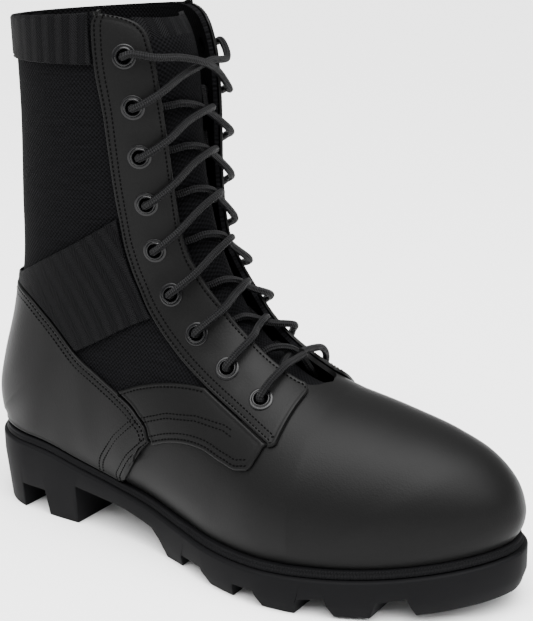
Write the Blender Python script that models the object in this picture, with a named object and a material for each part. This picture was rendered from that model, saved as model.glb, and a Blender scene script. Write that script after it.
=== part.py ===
"""Jungle boot, right foot: leather and canvas upper on a lugged rubber sole.

Metres, +Z up. +X runs to the toe and +Y to the inner side of the foot. The origin is on the
floor, under the middle of the boot. Heights in the tables are shares of BOOT_HEIGHT, places
along the boot are shares of SOLE_LENGTH from the heel's back, and widths are shares of
BALL_WIDTH.
"""

import math

import bmesh
import bpy
import numpy as np
from mathutils import Matrix, Vector

# Driving dimensions
SOLE_LENGTH = 0.308
BALL_WIDTH = 0.112
BOOT_HEIGHT = 0.270
HEEL_EDGE = 0.040          # top of the outsole's side at the heel
WELT_HEIGHT = 0.0042
UPPER_WALL = 0.0022
OVERLAY_WALL = 0.0017
TONGUE_WALL = 0.0026
TONGUE_DROP = 0.0079       # tongue's face below the upper's outer face, room for the lace
INSOLE_THICKNESS = 0.0055
LACE_DIAMETER = 0.0038
EYELET_COUNT = 9
EYELET_PITCH = 0.0236
EYELET_BORE = 0.0064
EYELET_BARREL = 0.0005
EYELET_FLANGE = 0.0116
EYELET_RIM = 0.0010
FIRST_EYELET = 0.0215      # from the collar's top
COLLAR_TAPE = 0.0240       # height of the tape round the collar
LUG_DEPTH = 0.0078
HEEL_LUG_DEPTH = 0.0145
HEEL_GAP_LEAN = 0.0030
MIDDLE_ROW = 0.028         # width of the middle row of lugs
MIDDLE_GROOVE = 0.0046     # width of the grooves round that row
MIDDLE_DEPTH = 0.0055
SIDE_DRAFT = 0.0022        # the outsole's side runs in by this towards the tread
SIDE_BAND = 0.0125         # height of the upright band at the top of its side
TOP_BEVEL = 0.0010
WELT_REACH = 0.0024        # how far the welt reaches in under the upper's wall
WELT_STANDS = (0.42, 0.72)  # its outer face, foot and top, as shares of the ledge in from the edge
LACE_SIDES = 6
LACE_SPACING = 0.0095      # between the sections of the lace's solid
FIT_GAP = 0.0003
LAYER_GAP = 0.0005         # curved faces lie a little further apart
HOLE_GAP = 0.0005          # round the eyelets' barrels, whose sides are flats
LIFT = 0.0012              # overlays start this far above the welt
SEAM_GAP = 0.0010          # between the edges of two overlays
BEYOND = 0.010             # how far a cutter reaches past what it cuts

# Outsole: the top edge of its side, shares of HEEL_EDGE
EDGE_ROWS = (  # along, height
    (0.00, 1.000), (0.117, 0.992), (0.180, 0.942), (0.234, 0.843), (0.289, 0.755), (0.342, 0.675),
    (0.398, 0.600), (0.458, 0.515), (0.519, 0.468), (0.610, 0.455), (0.701, 0.472), (0.776, 0.500),
    (0.841, 0.550), (0.906, 0.625), (1.000, 0.765),
)
# Outsole: half widths behind the toe's curve; the ledge is how far it stands out past the upper
PLAN_ROWS = (  # along, outer side, inner side, ledge in metres
    (0.125, 0.343, 0.339, 0.0046), (0.182, 0.346, 0.337, 0.0046), (0.250, 0.342, 0.323, 0.0047),
    (0.321, 0.341, 0.304, 0.0050), (0.399, 0.360, 0.293, 0.0055), (0.481, 0.416, 0.318, 0.0060),
    (0.549, 0.477, 0.379, 0.0063), (0.607, 0.509, 0.433, 0.0062), (0.659, 0.516, 0.468, 0.0060),
    (0.705, 0.502, 0.481, 0.0060),
)
# Outsole: height of the tread above the floor, the toe's spring
SPRING_ROWS = (  # along, height in metres
    (0.00, 0.0), (0.716, 0.0), (0.775, 0.0010), (0.825, 0.0022), (0.888, 0.0046), (0.955, 0.0084),
    (1.00, 0.0112),
)
TOE_ALONG = 0.705          # where the toe's curve starts
HEEL_ALONG = 0.125         # where the heel's curve starts
TOE_INWARD = 0.054         # the toe's tip lies this far to the inner side
# Toe in plan: where it is widest (share of its length, behind its start) and how blunt it is
TOE_OUTER = (-0.46, 1.72)
TOE_INNER = (-0.02, 2.10)
PLAN_COUNTS = (8, 15, 12)  # points of the outline round the heel, along the waist, round the toe

# Gaps between the lugs at the sides: the feet and tops of the lugs behind and ahead of each
LUG_GAPS = (  # along: first, first_top, last_top, last; depths at the tops in shares of LUG_DEPTH
    (0.4818, 0.4873, 0.5351, 0.5552, 0.96, 0.96), (0.6071, 0.6104, 0.6487, 0.6623, 0.97, 0.97),
    (0.7162, 0.7240, 0.7630, 0.7750, 1.09, 1.22), (0.8266, 0.8370, 0.8779, 0.8864, 1.08, 1.24),
    (0.9560, 0.9580, 0.9690, 0.9740, 0.44, 0.44),
)
HEEL_GAPS = ((0.106, 0.170),)  # along: first, last
MIDDLE_SPAN = (0.462, 0.930)   # grooves beside the middle row
MIDDLE_CUTS = (0.520, 0.582, 0.637, 0.692, 0.748, 0.803, 0.860)
ARCH_ROWS = (  # along, height in metres: underside between heel and forefoot
    (0.232, -0.002), (0.237, 0.0225), (0.348, 0.0180), (0.408, 0.0138), (0.425, 0.0095), (0.438, 0.0018),
    (0.445, -0.002),
)

# Sections of the upper. Each lies in a plane across the boot, through a point of the sole or
# the back and a point of the front. The toe's planes turn about one line at the ball.
TOE_ROWS = (  # turn (share of a right angle), along, height
    (0.000, 0.981, 0.1245), (0.045, 0.9915, 0.144), (0.100, 0.9955, 0.167), (0.165, 0.992, 0.191),
    (0.235, 0.9825, 0.217), (0.320, 0.963, 0.2445), (0.420, 0.930, 0.272), (0.540, 0.8766, 0.2955),
    (0.720, 0.7987, 0.317), (1.000, 0.700, 0.340),
)
# base: share of the way from the ball along the feather line to the heel's back
# wide_outer and wide_inner: half widths, wide_at: how far up the section they lie
BODY_ROWS = (  # step, along, height, base, wide_outer, wide_inner, wide_at, blunt_low, blunt_high, centre
    (1.00, 0.700, 0.340, 0.000, 0.478, 0.451, 0.20, 2.20, 1.95, 0.045),
    (1.30, 0.649, 0.3615, 0.095, 0.482, 0.424, 0.20, 2.20, 1.95, 0.040),
    (1.60, 0.6055, 0.391, 0.203, 0.451, 0.380, 0.22, 2.20, 1.95, 0.036),
    (1.90, 0.570, 0.424, 0.323, 0.411, 0.344, 0.27, 2.20, 1.95, 0.030),
    (2.20, 0.542, 0.461, 0.460, 0.373, 0.330, 0.30, 2.30, 1.95, 0.022),
    (2.50, 0.523, 0.500, 0.601, 0.346, 0.326, 0.30, 2.30, 2.00, 0.016),
    (2.80, 0.508, 0.5425, 0.740, 0.333, 0.322, 0.30, 2.30, 2.00, 0.009),
    (3.05, 0.495, 0.583, 0.855, 0.330, 0.321, 0.30, 2.30, 2.00, 0.005),
    (3.30, 0.4855, 0.6185, 1.000, 0.329, 0.321, 0.31, 2.35, 2.00, 0.003),
    (3.60, 0.477, 0.659, 1.000, 0.330, 0.323, 0.33, 2.35, 2.00, 0.0),
    (3.90, 0.469, 0.698, 1.000, 0.334, 0.328, 0.36, 2.30, 2.00, 0.0),
    (4.30, 0.461, 0.748, 1.000, 0.342, 0.338, 0.40, 2.20, 2.00, 0.0),
    (4.70, 0.455, 0.796, 1.000, 0.355, 0.3535, 0.44, 2.10, 2.00, 0.0),
    (5.20, 0.451, 0.863, 1.000, 0.364, 0.364, 0.48, 2.05, 2.00, 0.0),
    (5.70, 0.443, 0.933, 1.000, 0.368, 0.368, 0.50, 2.00, 2.00, 0.0),
    (6.10, 0.4285, 0.978, 1.000, 0.366, 0.366, 0.50, 2.00, 2.00, 0.0),
    (6.40, 0.411, 1.0055, 1.000, 0.3625, 0.3625, 0.50, 2.00, 2.00, 0.0),
)
BACK_ROWS = (  # step, along, height
    (3.60, 0.0125, 0.215), (3.90, 0.0280, 0.285), (4.30, 0.0570, 0.385), (4.70, 0.0785, 0.489),
    (5.20, 0.086, 0.633), (5.70, 0.094, 0.789), (6.10, 0.0965, 0.900), (6.40, 0.0975, 0.985),
)
HEEL_STEP = 3.30           # the section that reaches the heel's back at the feather line
TOP_STEP = 6.40
LAST_STRAIGHT = 6.10       # above it the throat's edge turns back, round the eyestay's top
THROAT_ROWS = (  # step, half opening
    (1.17, 0.0), (1.19, 0.045), (1.23, 0.085), (1.30, 0.116), (1.42, 0.130), (1.60, 0.134),
    (2.10, 0.135), (2.90, 0.152), (3.50, 0.160), (4.00, 0.166), (4.50, 0.177), (5.05, 0.194),
    (5.45, 0.205), (5.84, 0.211), (6.10, 0.217), (6.22, 0.235), (6.32, 0.272), (6.40, 0.325),
)
# Edges of the overlays in the side view
STAY_EDGE = (  # height, along: rear edge of the eyestay
    (0.275, 0.655), (0.318, 0.5705), (0.3485, 0.5175), (0.3775, 0.4755), (0.4145, 0.435),
    (0.460, 0.398), (0.5085, 0.3735), (0.571, 0.356), (0.639, 0.350), (0.748, 0.347),
    (0.832, 0.343), (0.908, 0.334), (0.9955, 0.327),
)
COUNTER_EDGE = (  # along, height: top edge of the heel counter
    (-0.02, 0.485), (0.075, 0.482), (0.118, 0.476), (0.168, 0.458), (0.198, 0.428), (0.249, 0.365),
    (0.306, 0.327), (0.349, 0.302), (0.390, 0.273), (0.418, 0.234), (0.426, 0.200), (0.430, 0.080),
)
WEB_TOP = (  # along, height
    (-0.02, 0.487), (0.078, 0.490), (0.125, 0.5005), (0.217, 0.5515), (0.290, 0.597), (0.350, 0.639),
)
WEB_LOW = (  # along, height
    (0.200, 0.340), (0.249, 0.3645), (0.306, 0.398), (0.354, 0.428), (0.398, 0.4525),
)
PATCH_TOP = (  # along, height: top edge of the instep patch
    (0.300, 0.292), (0.341, 0.307), (0.387, 0.3285), (0.4445, 0.345), (0.4995, 0.349),
    (0.560, 0.340),
)
PATCH_LOW = (  # along, height
    (0.400, 0.210), (0.423, 0.224), (0.4795, 0.246), (0.534, 0.248), (0.5745, 0.2367),
    (0.611, 0.233), (0.632, 0.248), (0.640, 0.274),
)
TAIL = (  # along, height: front edge of the heel counter, from its point down to the welt
    (0.4225, 0.225), (0.380, 0.181), (0.3465, 0.133), (0.339, 0.100),
)
EYELET_LINE = (  # step, how far the eyelets lie from the throat: share of the eyestay's width
    (1.30, 0.600), (2.00, 0.580), (2.90, 0.535), (3.60, 0.495), (4.70, 0.475), (6.10, 0.455),
)
STAY_END = (1.225, 0.120)  # lower end of the eyestay: section, and half opening there
STAY_FOOT = 1.42           # below this section the eyestay's front edge runs straight down
STAY_ROUND = (6.2, 0.004)  # above this section its rear edge rounds off, by so much at the top
TONGUE_ROWS = (  # step, half width, drop below the upper's outer face (share of TONGUE_DROP)
    (1.02, 0.150, 0.38), (1.12, 0.170, 0.44), (1.22, 0.190, 0.72), (1.38, 0.225, 1.00),
    (1.80, 0.240, 1.00), (3.00, 0.260, 1.00), (4.50, 0.290, 1.00), (5.60, 0.305, 1.00),
    (6.10, 0.300, 1.00), (6.30, 0.270, 1.00), (6.38, 0.220, 1.00),
)

# How finely the solids are divided: sections by groups of first step, last step and count
UPPER_GROUPS = (
    (0.0, 0.30, 3), (0.30, 1.0, 5), (1.0, 1.17, 1), (1.17, 1.30, 2), (1.30, 2.50, 6), (2.50, 2.80, 3),
    (2.80, HEEL_STEP, 5), (HEEL_STEP, 4.70, 5), (4.70, 6.10, 4), (6.10, TOP_STEP, 2),
)
TONGUE_GROUPS = ((1.02, 1.40, 4), (1.40, 4.70, 8), (4.70, 6.30, 4), (6.30, 6.38, 1))
COUNTER_SPAN = (1.90, 4.80)  # first and last section that each panel is cut from
WEB_SPAN = (2.60, 4.90)
COLLAR_SPAN = (5.60, TOP_STEP)
PATCH_SPAN = (1.20, 2.70)
UPPER_COLUMNS = (0.0, 0.045, *np.linspace(0.11, 1.0, 8))
STAY_COLUMNS = (0.0, 0.25, 0.5, 0.75, 1.0)
TONGUE_COLUMNS = 5
HALF_POINTS = 240          # points of a half section, before it is divided
EYELET_SIDES = 8

LEATHER = ((0.018, 0.018, 0.019), 0.42, 0.0)
CANVAS = ((0.012, 0.012, 0.013), 0.85, 0.0)
WEBBING = ((0.014, 0.014, 0.015), 0.75, 0.0)
RUBBER = ((0.022, 0.022, 0.023), 0.60, 0.0)
ENAMEL = ((0.010, 0.010, 0.011), 0.22, 0.6)
CORD = ((0.016, 0.016, 0.017), 0.70, 0.0)
FELT = ((0.030, 0.029, 0.028), 0.90, 0.0)

OUTER = -1
INNER = 1


def smooth(rows, column, scale=1.0):
    """A smooth curve through one column of a table, as a function of the first column."""
    x = np.array([row[0] for row in rows], float)
    y = np.array([row[column] for row in rows], float) * scale
    step = np.diff(x)
    rise = np.diff(y) / step
    slope = np.empty_like(y)
    slope[1:-1] = (rise[:-1] * step[1:] + rise[1:] * step[:-1]) / (step[1:] + step[:-1])
    slope[0] = 1.5 * rise[0] - 0.5 * slope[1]
    slope[-1] = 1.5 * rise[-1] - 0.5 * slope[-2]

    def at(value):
        value = np.clip(value, x[0], x[-1])
        i = np.clip(np.searchsorted(x, value) - 1, 0, len(x) - 2)
        s = (value - x[i]) / step[i]
        return (y[i] * (1 + 2 * s) * (1 - s) ** 2 + slope[i] * step[i] * s * (1 - s) ** 2
                + y[i + 1] * s * s * (3 - 2 * s) + slope[i + 1] * step[i] * s * s * (s - 1))

    return at


def along_to_x(share):
    return (share - 0.5) * SOLE_LENGTH


def in_metres(rows, *columns):
    """A table with its along and height columns turned to metres, in the order given."""
    turn = {"along": along_to_x, "height": lambda share: share * BOOT_HEIGHT}
    return tuple(tuple(turn[name](value) for name, value in zip(columns, row)) for row in rows)


edge_share = smooth(EDGE_ROWS, 1, HEEL_EDGE)
spring_share = smooth(SPRING_ROWS, 1)
plan_side = {OUTER: smooth(PLAN_ROWS, 1, BALL_WIDTH), INNER: smooth(PLAN_ROWS, 2, BALL_WIDTH)}
plan_ledge = smooth(PLAN_ROWS, 3)
front_x = smooth(BODY_ROWS, 1)
front_z = smooth(BODY_ROWS, 2, BOOT_HEIGHT)
base_way = smooth(BODY_ROWS, 3)
wide = {OUTER: smooth(BODY_ROWS, 4, BALL_WIDTH), INNER: smooth(BODY_ROWS, 5, BALL_WIDTH)}
wide_at = smooth(BODY_ROWS, 6)
blunt_low = smooth(BODY_ROWS, 7)
blunt_high = smooth(BODY_ROWS, 8)
centre_y = smooth(BODY_ROWS, 9, BALL_WIDTH)
toe_x = smooth(TOE_ROWS, 1)
toe_z = smooth(TOE_ROWS, 2, BOOT_HEIGHT)
throat_half = smooth(THROAT_ROWS, 1, BALL_WIDTH)
stay_edge = smooth(in_metres(STAY_EDGE, "height", "along"), 1)
counter_edge = smooth(in_metres(COUNTER_EDGE, "along", "height"), 1)
web_top = smooth(in_metres(WEB_TOP, "along", "height"), 1)
web_low = smooth(in_metres(WEB_LOW, "along", "height"), 1)
patch_top = smooth(in_metres(PATCH_TOP, "along", "height"), 1)
patch_low = smooth(in_metres(PATCH_LOW, "along", "height"), 1)

eyelet_share = smooth(EYELET_LINE, 1)

BALL_X = along_to_x(TOE_ALONG)
HEEL_X = along_to_x(HEEL_ALONG)
TIP_Y = TOE_INWARD * BALL_WIDTH


def edge_z(x):
    """Height of the outsole's top edge."""
    return edge_share(x / SOLE_LENGTH + 0.5)


def tread_z(x):
    """Height of the tread's face."""
    return np.maximum(0.0, spring_share(x / SOLE_LENGTH + 0.5))


def feather_z(x):
    """Height of the upper's lower edge, on the welt."""
    return edge_z(x) + WELT_HEIGHT


def blunt(value, power):
    """Height of a blunt ellipse over its middle."""
    return np.maximum(0.0, 1.0 - np.abs(value) ** power) ** (1.0 / power)


def plan_half(x, side):
    """Half width of the outsole from the boot's long axis, at x between heel and ball."""
    return plan_side[side](x / SOLE_LENGTH + 0.5)


def ledge(x):
    return plan_ledge(x / SOLE_LENGTH + 0.5)


HEEL_RADIUS = HEEL_X - along_to_x(0.0)


def heel_base(angle, side):
    """Point of the feather line on the heel's curve: x and half width."""
    x = HEEL_X - (HEEL_RADIUS - ledge(HEEL_X)) * math.sin(angle)
    return x, (plan_half(HEEL_X, side) - ledge(HEEL_X)) * math.cos(angle)


def base_point(way, side):
    """Point of the feather line at a share of the way from the ball to the heel's back."""
    straight = BALL_X - HEEL_X
    bend = HEEL_RADIUS * math.pi / 2
    run = way * (straight + bend)
    if run <= straight:
        x = BALL_X - run
        return x, float(plan_half(x, side) - ledge(x))
    return heel_base(min(math.pi / 2, (run - straight) / HEEL_RADIUS), side)


back_x = smooth(((HEEL_STEP, heel_base(math.pi / 2, OUTER)[0] / SOLE_LENGTH + 0.5),)
                + tuple(row[:2] for row in BACK_ROWS), 1)
back_z = smooth(((HEEL_STEP, float(feather_z(heel_base(math.pi / 2, OUTER)[0])) / BOOT_HEIGHT),)
                + tuple((row[0], row[2]) for row in BACK_ROWS), 1, BOOT_HEIGHT)


def swell(share, side):
    """How much wider the section at the ball is than one that rises straight from its base."""
    share = np.minimum(share, 0.99)
    place = float(wide_at(1.0))
    low, high = float(blunt_low(1.0)), float(blunt_high(1.0))
    middle = side * float(centre_y(1.0))
    foot = float(plan_half(BALL_X, side) - ledge(BALL_X)) - middle
    half = float(wide[side](1.0)) - middle
    drop = float(blunt(foot / half, low))
    under = half * blunt(np.maximum(0.0, place - share) / place * drop, low)
    over = half * blunt(np.maximum(0.0, share - place) / (1 - place), high)
    return np.where(share < place, under, over) / (foot * blunt(share, high))


def half_section(step, side):
    """One side of a section as a fine line from its base, or the back, to the front."""
    if step < 1.0:
        turn = step * math.pi / 2
        front = (along_to_x(float(toe_x(step))), float(toe_z(step)))
        base = (BALL_X, float(feather_z(BALL_X)))
        foot = float(plan_half(BALL_X, side) - ledge(BALL_X))
        plan_at, plan_blunt = TOE_OUTER if side == OUTER else TOE_INNER
        flat, steep = math.cos(turn), math.sin(turn)
        middle = TIP_Y * flat + float(centre_y(1.0)) * steep
        high = plan_blunt * flat ** 2 + float(blunt_high(1.0)) * steep ** 2
        place = plan_at * flat
        half = (foot - side * middle) / float(blunt(place / (1 - place), high))
    else:
        front = (along_to_x(float(front_x(step))), float(front_z(step)))
        if step <= HEEL_STEP:
            x, foot = base_point(float(base_way(step)), side)
            base = (x, float(feather_z(x)))
        else:
            foot = 0.0
            base = (along_to_x(float(back_x(step))), float(back_z(step)))
        middle = float(centre_y(step))
        foot = max(0.0, foot - side * middle) if foot > 0 else 0.0
        high = float(blunt_high(step))
        place = float(wide_at(step))
        half = max(float(wide[side](step)) - side * middle, foot * 1.0001)
    if place <= 0:
        start = -place / (1 - place)
        turns = np.linspace(math.asin(start ** (high / 2)), math.pi / 2, HALF_POINTS)
        share = (np.sin(turns) ** (2 / high) - start) / (1 - start)
        out = half * np.maximum(0.0, np.cos(turns)) ** (2 / high)
        out = out * (1 + (swell(share, side) - 1) * steep)
    else:
        low = float(blunt_low(max(step, 1.0)))
        drop = float(blunt(min(1.0, foot / half), low))
        fall = np.linspace(math.asin(drop ** (low / 2)), 0.0, HALF_POINTS // 3, endpoint=False)
        climb = np.linspace(0.0, math.pi / 2, HALF_POINTS - HALF_POINTS // 3)
        share = np.concatenate((place - place / drop * np.sin(fall) ** (2 / low),
                                place + (1 - place) * np.sin(climb) ** (2 / high)))
        out = half * np.concatenate((np.maximum(0.0, np.cos(fall)) ** (2 / low),
                                     np.maximum(0.0, np.cos(climb)) ** (2 / high)))
    x = base[0] + share * (front[0] - base[0])
    z = base[1] + share * (front[1] - base[1])
    if step < 1.0:
        tip = (along_to_x(float(toe_x(0.0))), float(toe_z(0.0)))
        chord = base[1] + (x - base[0]) * (tip[1] - base[1]) / (tip[0] - base[0])
        z = z + (feather_z(x) - chord) * math.cos(turn) ** 4
    return np.stack((x, side * out + middle, z), axis=1)


_kept = {}


def line_of(step, side):
    """A half section with the length run along it at each of its points."""
    key = (round(float(step), 6), side)
    if key not in _kept:
        points = half_section(key[0], side)
        run = np.concatenate(((0.0,), np.cumsum(np.linalg.norm(np.diff(points, axis=0), axis=1))))
        _kept[key] = (points, run)
    return _kept[key]


def point_at(step, side, run):
    points, length = line_of(step, side)
    return np.array([np.interp(run, length, points[:, i]) for i in range(3)])


def run_where(step, side, test):
    """Length along a half section at which a test first turns from below to above zero."""
    points, length = line_of(step, side)
    value = test(points)
    if value[0] >= 0:
        return 0.0
    above = np.nonzero(value >= 0)[0]
    if len(above) == 0:
        return float(length[-1])
    i = above[0]
    part = value[i - 1] / (value[i - 1] - value[i])
    return float(length[i - 1] + part * (length[i] - length[i - 1]))


def full_run(step, side):
    return float(line_of(step, side)[1][-1])


def throat_run(step, side):
    """Length along a half section to the throat's edge, or to the ridge where it is closed."""
    opening = float(throat_half(step)) if step > THROAT_ROWS[0][0] else 0.0
    if opening <= 0:
        return full_run(step, side)
    middle = float(centre_y(step))
    points, length = line_of(step, side)
    out = side * (points[:, 1] - middle)
    last = np.nonzero(out >= opening)[0][-1]
    part = (out[last] - opening) / (out[last] - out[last + 1])
    return float(length[last] + part * (length[last + 1] - length[last]))


def behind_stay(points):
    """Test for run_where: how far points lie in front of the eyestay's rear edge."""
    return points[:, 0] - stay_edge(points[:, 2])


def stay_run(step, side):
    """Length along a half section to the eyestay's rear edge."""
    low = STAY_EDGE[0]
    if step < 1.29:
        return run_where(step, side, lambda points: points[:, 2] - low[0] * BOOT_HEIGHT)
    return run_where(step, side, behind_stay)


def normal_at(step, side, run):
    """Outward direction of the form."""
    small = 0.01
    near = 0.0008
    a = point_at(step, side, run - near)
    b = point_at(step, side, run + near)
    c = point_at(step - small, side, run * full_run(step - small, side) / full_run(step, side))
    d = point_at(step + small, side, run * full_run(step + small, side) / full_run(step, side))
    out = np.cross(b - a, d - c)
    out = out / np.linalg.norm(out)
    return out if out[1] * side > 0 else -out


def spaced(*stops):
    """Values from stop to stop: (first, last, count) groups joined end to end."""
    values = []
    for first, last, count in stops:
        values.extend(np.linspace(first, last, count, endpoint=False))
    values.append(stops[-1][1])
    return values


def add_object(name, mesh_maker, finish):
    """Makes a named object with its own material from a bmesh."""
    mesh = bpy.data.meshes.new(name)
    mesh_maker.to_mesh(mesh)
    mesh_maker.free()
    piece = bpy.data.objects.new(name, mesh)
    bpy.context.scene.collection.objects.link(piece)
    if finish is not None:
        colour, roughness, metallic = finish
        material = bpy.data.materials.new(name + "_finish")
        material.use_nodes = True
        shader = material.node_tree.nodes["Principled BSDF"]
        shader.inputs["Base Color"].default_value = (*colour, 1.0)
        shader.inputs["Roughness"].default_value = roughness
        shader.inputs["Metallic"].default_value = metallic
        mesh.materials.append(material)
        mesh.shade_smooth()
        mesh.set_sharp_from_angle(angle=math.radians(40))
    return piece


def sheet(steps, limits, shares, sides=(OUTER, INNER)):
    """Faces over the form between two lengths on each section; halves meet where they touch."""
    work = bmesh.new()
    for side in sides:
        grid = []
        for step in steps:
            low, high = limits(step, side)
            reach = max(0.0, high - low)
            grid.append([work.verts.new(point_at(step, side, low + reach * share)) for share in shares])
        for lower, upper in zip(grid, grid[1:]):
            for i in range(len(shares) - 1):
                ring = (lower[i], lower[i + 1], upper[i + 1], upper[i])
                work.faces.new(ring if side == OUTER else ring[::-1])
    bmesh.ops.remove_doubles(work, verts=work.verts, dist=0.00002)
    bmesh.ops.dissolve_degenerate(work, edges=work.edges, dist=0.00002)
    return work


def thicken(work, low, high, floor=None):
    """Turns a sheet into a closed solid between two distances from the form."""
    bmesh.ops.triangulate(work, faces=work.faces, quad_method="SHORT_EDGE")
    work.normal_update()
    faces = [face for face in work.faces]
    verts = [vert for vert in work.verts]
    inner, outer = {}, {}
    for vert in verts:
        inner[vert] = work.verts.new(vert.co + vert.normal * low)
        outer[vert] = work.verts.new(vert.co + vert.normal * high)
    rims = [edge for edge in work.edges if len(edge.link_faces) == 1]
    for edge in rims:
        loop = edge.link_loops[0]
        a, b = loop.vert, loop.link_loop_next.vert
        work.faces.new((outer[b], outer[a], inner[a], inner[b]))
    for face in faces:
        ring = [vert for vert in face.verts]
        work.faces.new([outer[vert] for vert in ring])
        work.faces.new([inner[vert] for vert in reversed(ring)])
    bmesh.ops.delete(work, geom=verts, context="VERTS")
    if floor is not None:
        for vert in work.verts:
            vert.co.z = max(vert.co.z, float(floor(vert.co.x)))
    bmesh.ops.recalc_face_normals(work, faces=work.faces)
    return work


def turn_outward(work):
    bmesh.ops.recalc_face_normals(work, faces=work.faces)
    if work.calc_volume(signed=True) < 0:
        bmesh.ops.reverse_faces(work, faces=work.faces)
    return work


UPPER_STEPS = spaced(*UPPER_GROUPS)


def upper_steps(first, last):
    """The upper's own sections that reach from one step to another."""
    inside = [i for i, step in enumerate(UPPER_STEPS) if first <= step <= last]
    return UPPER_STEPS[max(0, inside[0] - 1):inside[-1] + 2]


def steps_between(first, last):
    """The upper's own sections between two others, so that layers share their facets."""
    inside = [step for step in UPPER_STEPS if first + 0.03 < step < last - 0.03]
    return [first, *inside, last]


def make_upper():
    work = sheet(UPPER_STEPS, upper_limits, UPPER_COLUMNS)
    return add_object("upper", thicken(work, -UPPER_WALL, 0.0, feather_z), LEATHER)


def overlay(name, steps, limits, finish, sides=(OUTER, INNER)):
    """A layer over the upper that has its own columns between two limits."""
    work = sheet(steps, limits, STAY_COLUMNS, sides)
    return add_object(name, thicken(work, LAYER_GAP, LAYER_GAP + OVERLAY_WALL), finish)


def upper_limits(step, side):
    return 0.0, throat_run(step, side)


def edge_line(edge, first, last, rise=0.0, spacing=0.008):
    """Points of an edge, in the side view, from one place along the boot to another."""
    count = max(2, round(abs(last - first) / spacing) + 1)
    return [(float(x), float(edge(x)) + rise) for x in np.linspace(first, last, count)]


def where_edges_meet(upper_edge, lower_edge, first, last):
    """Place along the boot where one edge, given by height, crosses another."""
    x = np.linspace(first, last, 400)
    apart = np.array([upper_edge(value) - lower_edge(value) for value in x])
    turn = np.nonzero(apart[:-1] * apart[1:] <= 0)[0][0]
    return float(x[turn])


def stay_line(low, high, spacing=0.008):
    """Points of the eyestay's rear edge, a seam's gap behind it."""
    count = max(2, round(abs(high - low) / spacing) + 1)
    return [(float(stay_edge(z)) - SEAM_GAP, float(z)) for z in np.linspace(low, high, count)]


def stay_height(edge, first, last):
    """Height at which an edge of a panel reaches the eyestay."""
    x = np.linspace(first, last, 400)
    apart = np.array([stay_edge(edge(value)) - SEAM_GAP - value for value in x])
    turn = np.nonzero(apart <= 0)[0][0]
    return float(x[turn]), float(edge(x[turn]))


def clear_of_counter(x):
    """The heel counter's top edge, moved out by a seam's gap."""
    return counter_edge(x - SEAM_GAP) + SEAM_GAP


def counter_corners():
    behind = along_to_x(-0.02)
    tail = along_to_x(TAIL[0][0])
    low = along_to_x(TAIL[-1][0])
    corners = edge_line(counter_edge, behind, tail)
    corners += [(along_to_x(along), height * BOOT_HEIGHT) for along, height in TAIL[1:-1]]
    corners += edge_line(feather_z, low, along_to_x(0.0), LIFT)
    corners.append((behind, float(feather_z(along_to_x(0.0))) + LIFT))
    return corners


def web_corners():
    behind = along_to_x(-0.02)
    high_x, high_z = stay_height(web_top, along_to_x(0.25), along_to_x(0.45))
    low_x, low_z = stay_height(web_low, along_to_x(0.30), along_to_x(0.50))
    start = where_edges_meet(web_low, clear_of_counter, along_to_x(0.20), along_to_x(0.30))
    corners = edge_line(web_top, behind, high_x)
    corners += stay_line(high_z, low_z)[1:-1]
    corners += edge_line(web_low, low_x, start)
    corners += edge_line(clear_of_counter, start, behind)[1:]
    return corners


def patch_corners():
    high_x, high_z = stay_height(patch_top, along_to_x(0.42), along_to_x(0.62))
    low_z = STAY_EDGE[0][0] * BOOT_HEIGHT
    start = where_edges_meet(patch_top, clear_of_counter, along_to_x(0.30), along_to_x(0.40))
    end = where_edges_meet(patch_low, clear_of_counter, along_to_x(0.40), along_to_x(0.43))
    corners = edge_line(patch_top, start, high_x)
    corners += stay_line(high_z, low_z + SEAM_GAP)[1:]
    corners += edge_line(patch_low, along_to_x(PATCH_LOW[-1][0]), end)
    corners += edge_line(clear_of_counter, end, start)[1:-1]
    return corners


def collar_corners():
    low = BOOT_HEIGHT - COLLAR_TAPE
    high = BOOT_HEIGHT * 1.1
    behind = along_to_x(-0.02)
    corners = [(behind, high), (float(stay_edge(BOOT_HEIGHT)) - SEAM_GAP, high)]
    corners += stay_line(BOOT_HEIGHT, low)
    corners.append((behind, low))
    return corners


def panel(name, steps, corners, finish, sides=(OUTER, INNER)):
    """A layer over the upper, cut between two larger forms by an outline in the side view."""
    work = sheet(steps, upper_limits, UPPER_COLUMNS, sides)
    piece = add_object(name, thicken(work, LAYER_GAP, LAYER_GAP + OVERLAY_WALL), finish)
    reach = BALL_WIDTH
    low = -reach if OUTER in sides else 0.001
    high = reach if INNER in sides else -0.001
    work = bmesh.new()
    prism(work, corners, low, high)
    shape = cutter("shape_" + name, work)
    keep = piece.modifiers.new("outline", "BOOLEAN")
    keep.operation = "INTERSECT"
    keep.solver = "MANIFOLD"
    keep.object = shape
    return piece


def stay_limits(step, side):
    """From the eyestay's rear edge to the throat's."""
    high = throat_run(step, side)
    end, opening = STAY_END
    if step < STAY_FOOT:
        points, length = line_of(step, side)
        out = side * (points[:, 1] - float(centre_y(step)))
        reach = opening * BALL_WIDTH
        high = min(high, float(length[np.nonzero(out >= reach)[0][-1]]))
    low = stay_run(step, side)
    start, inward = STAY_ROUND
    if step > start:
        low = low + inward * ((step - start) / (TOP_STEP - start)) ** 3
    return low, high


def unit(rows):
    """Directions of length one."""
    return rows / np.linalg.norm(rows, axis=1)[:, None]


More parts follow.
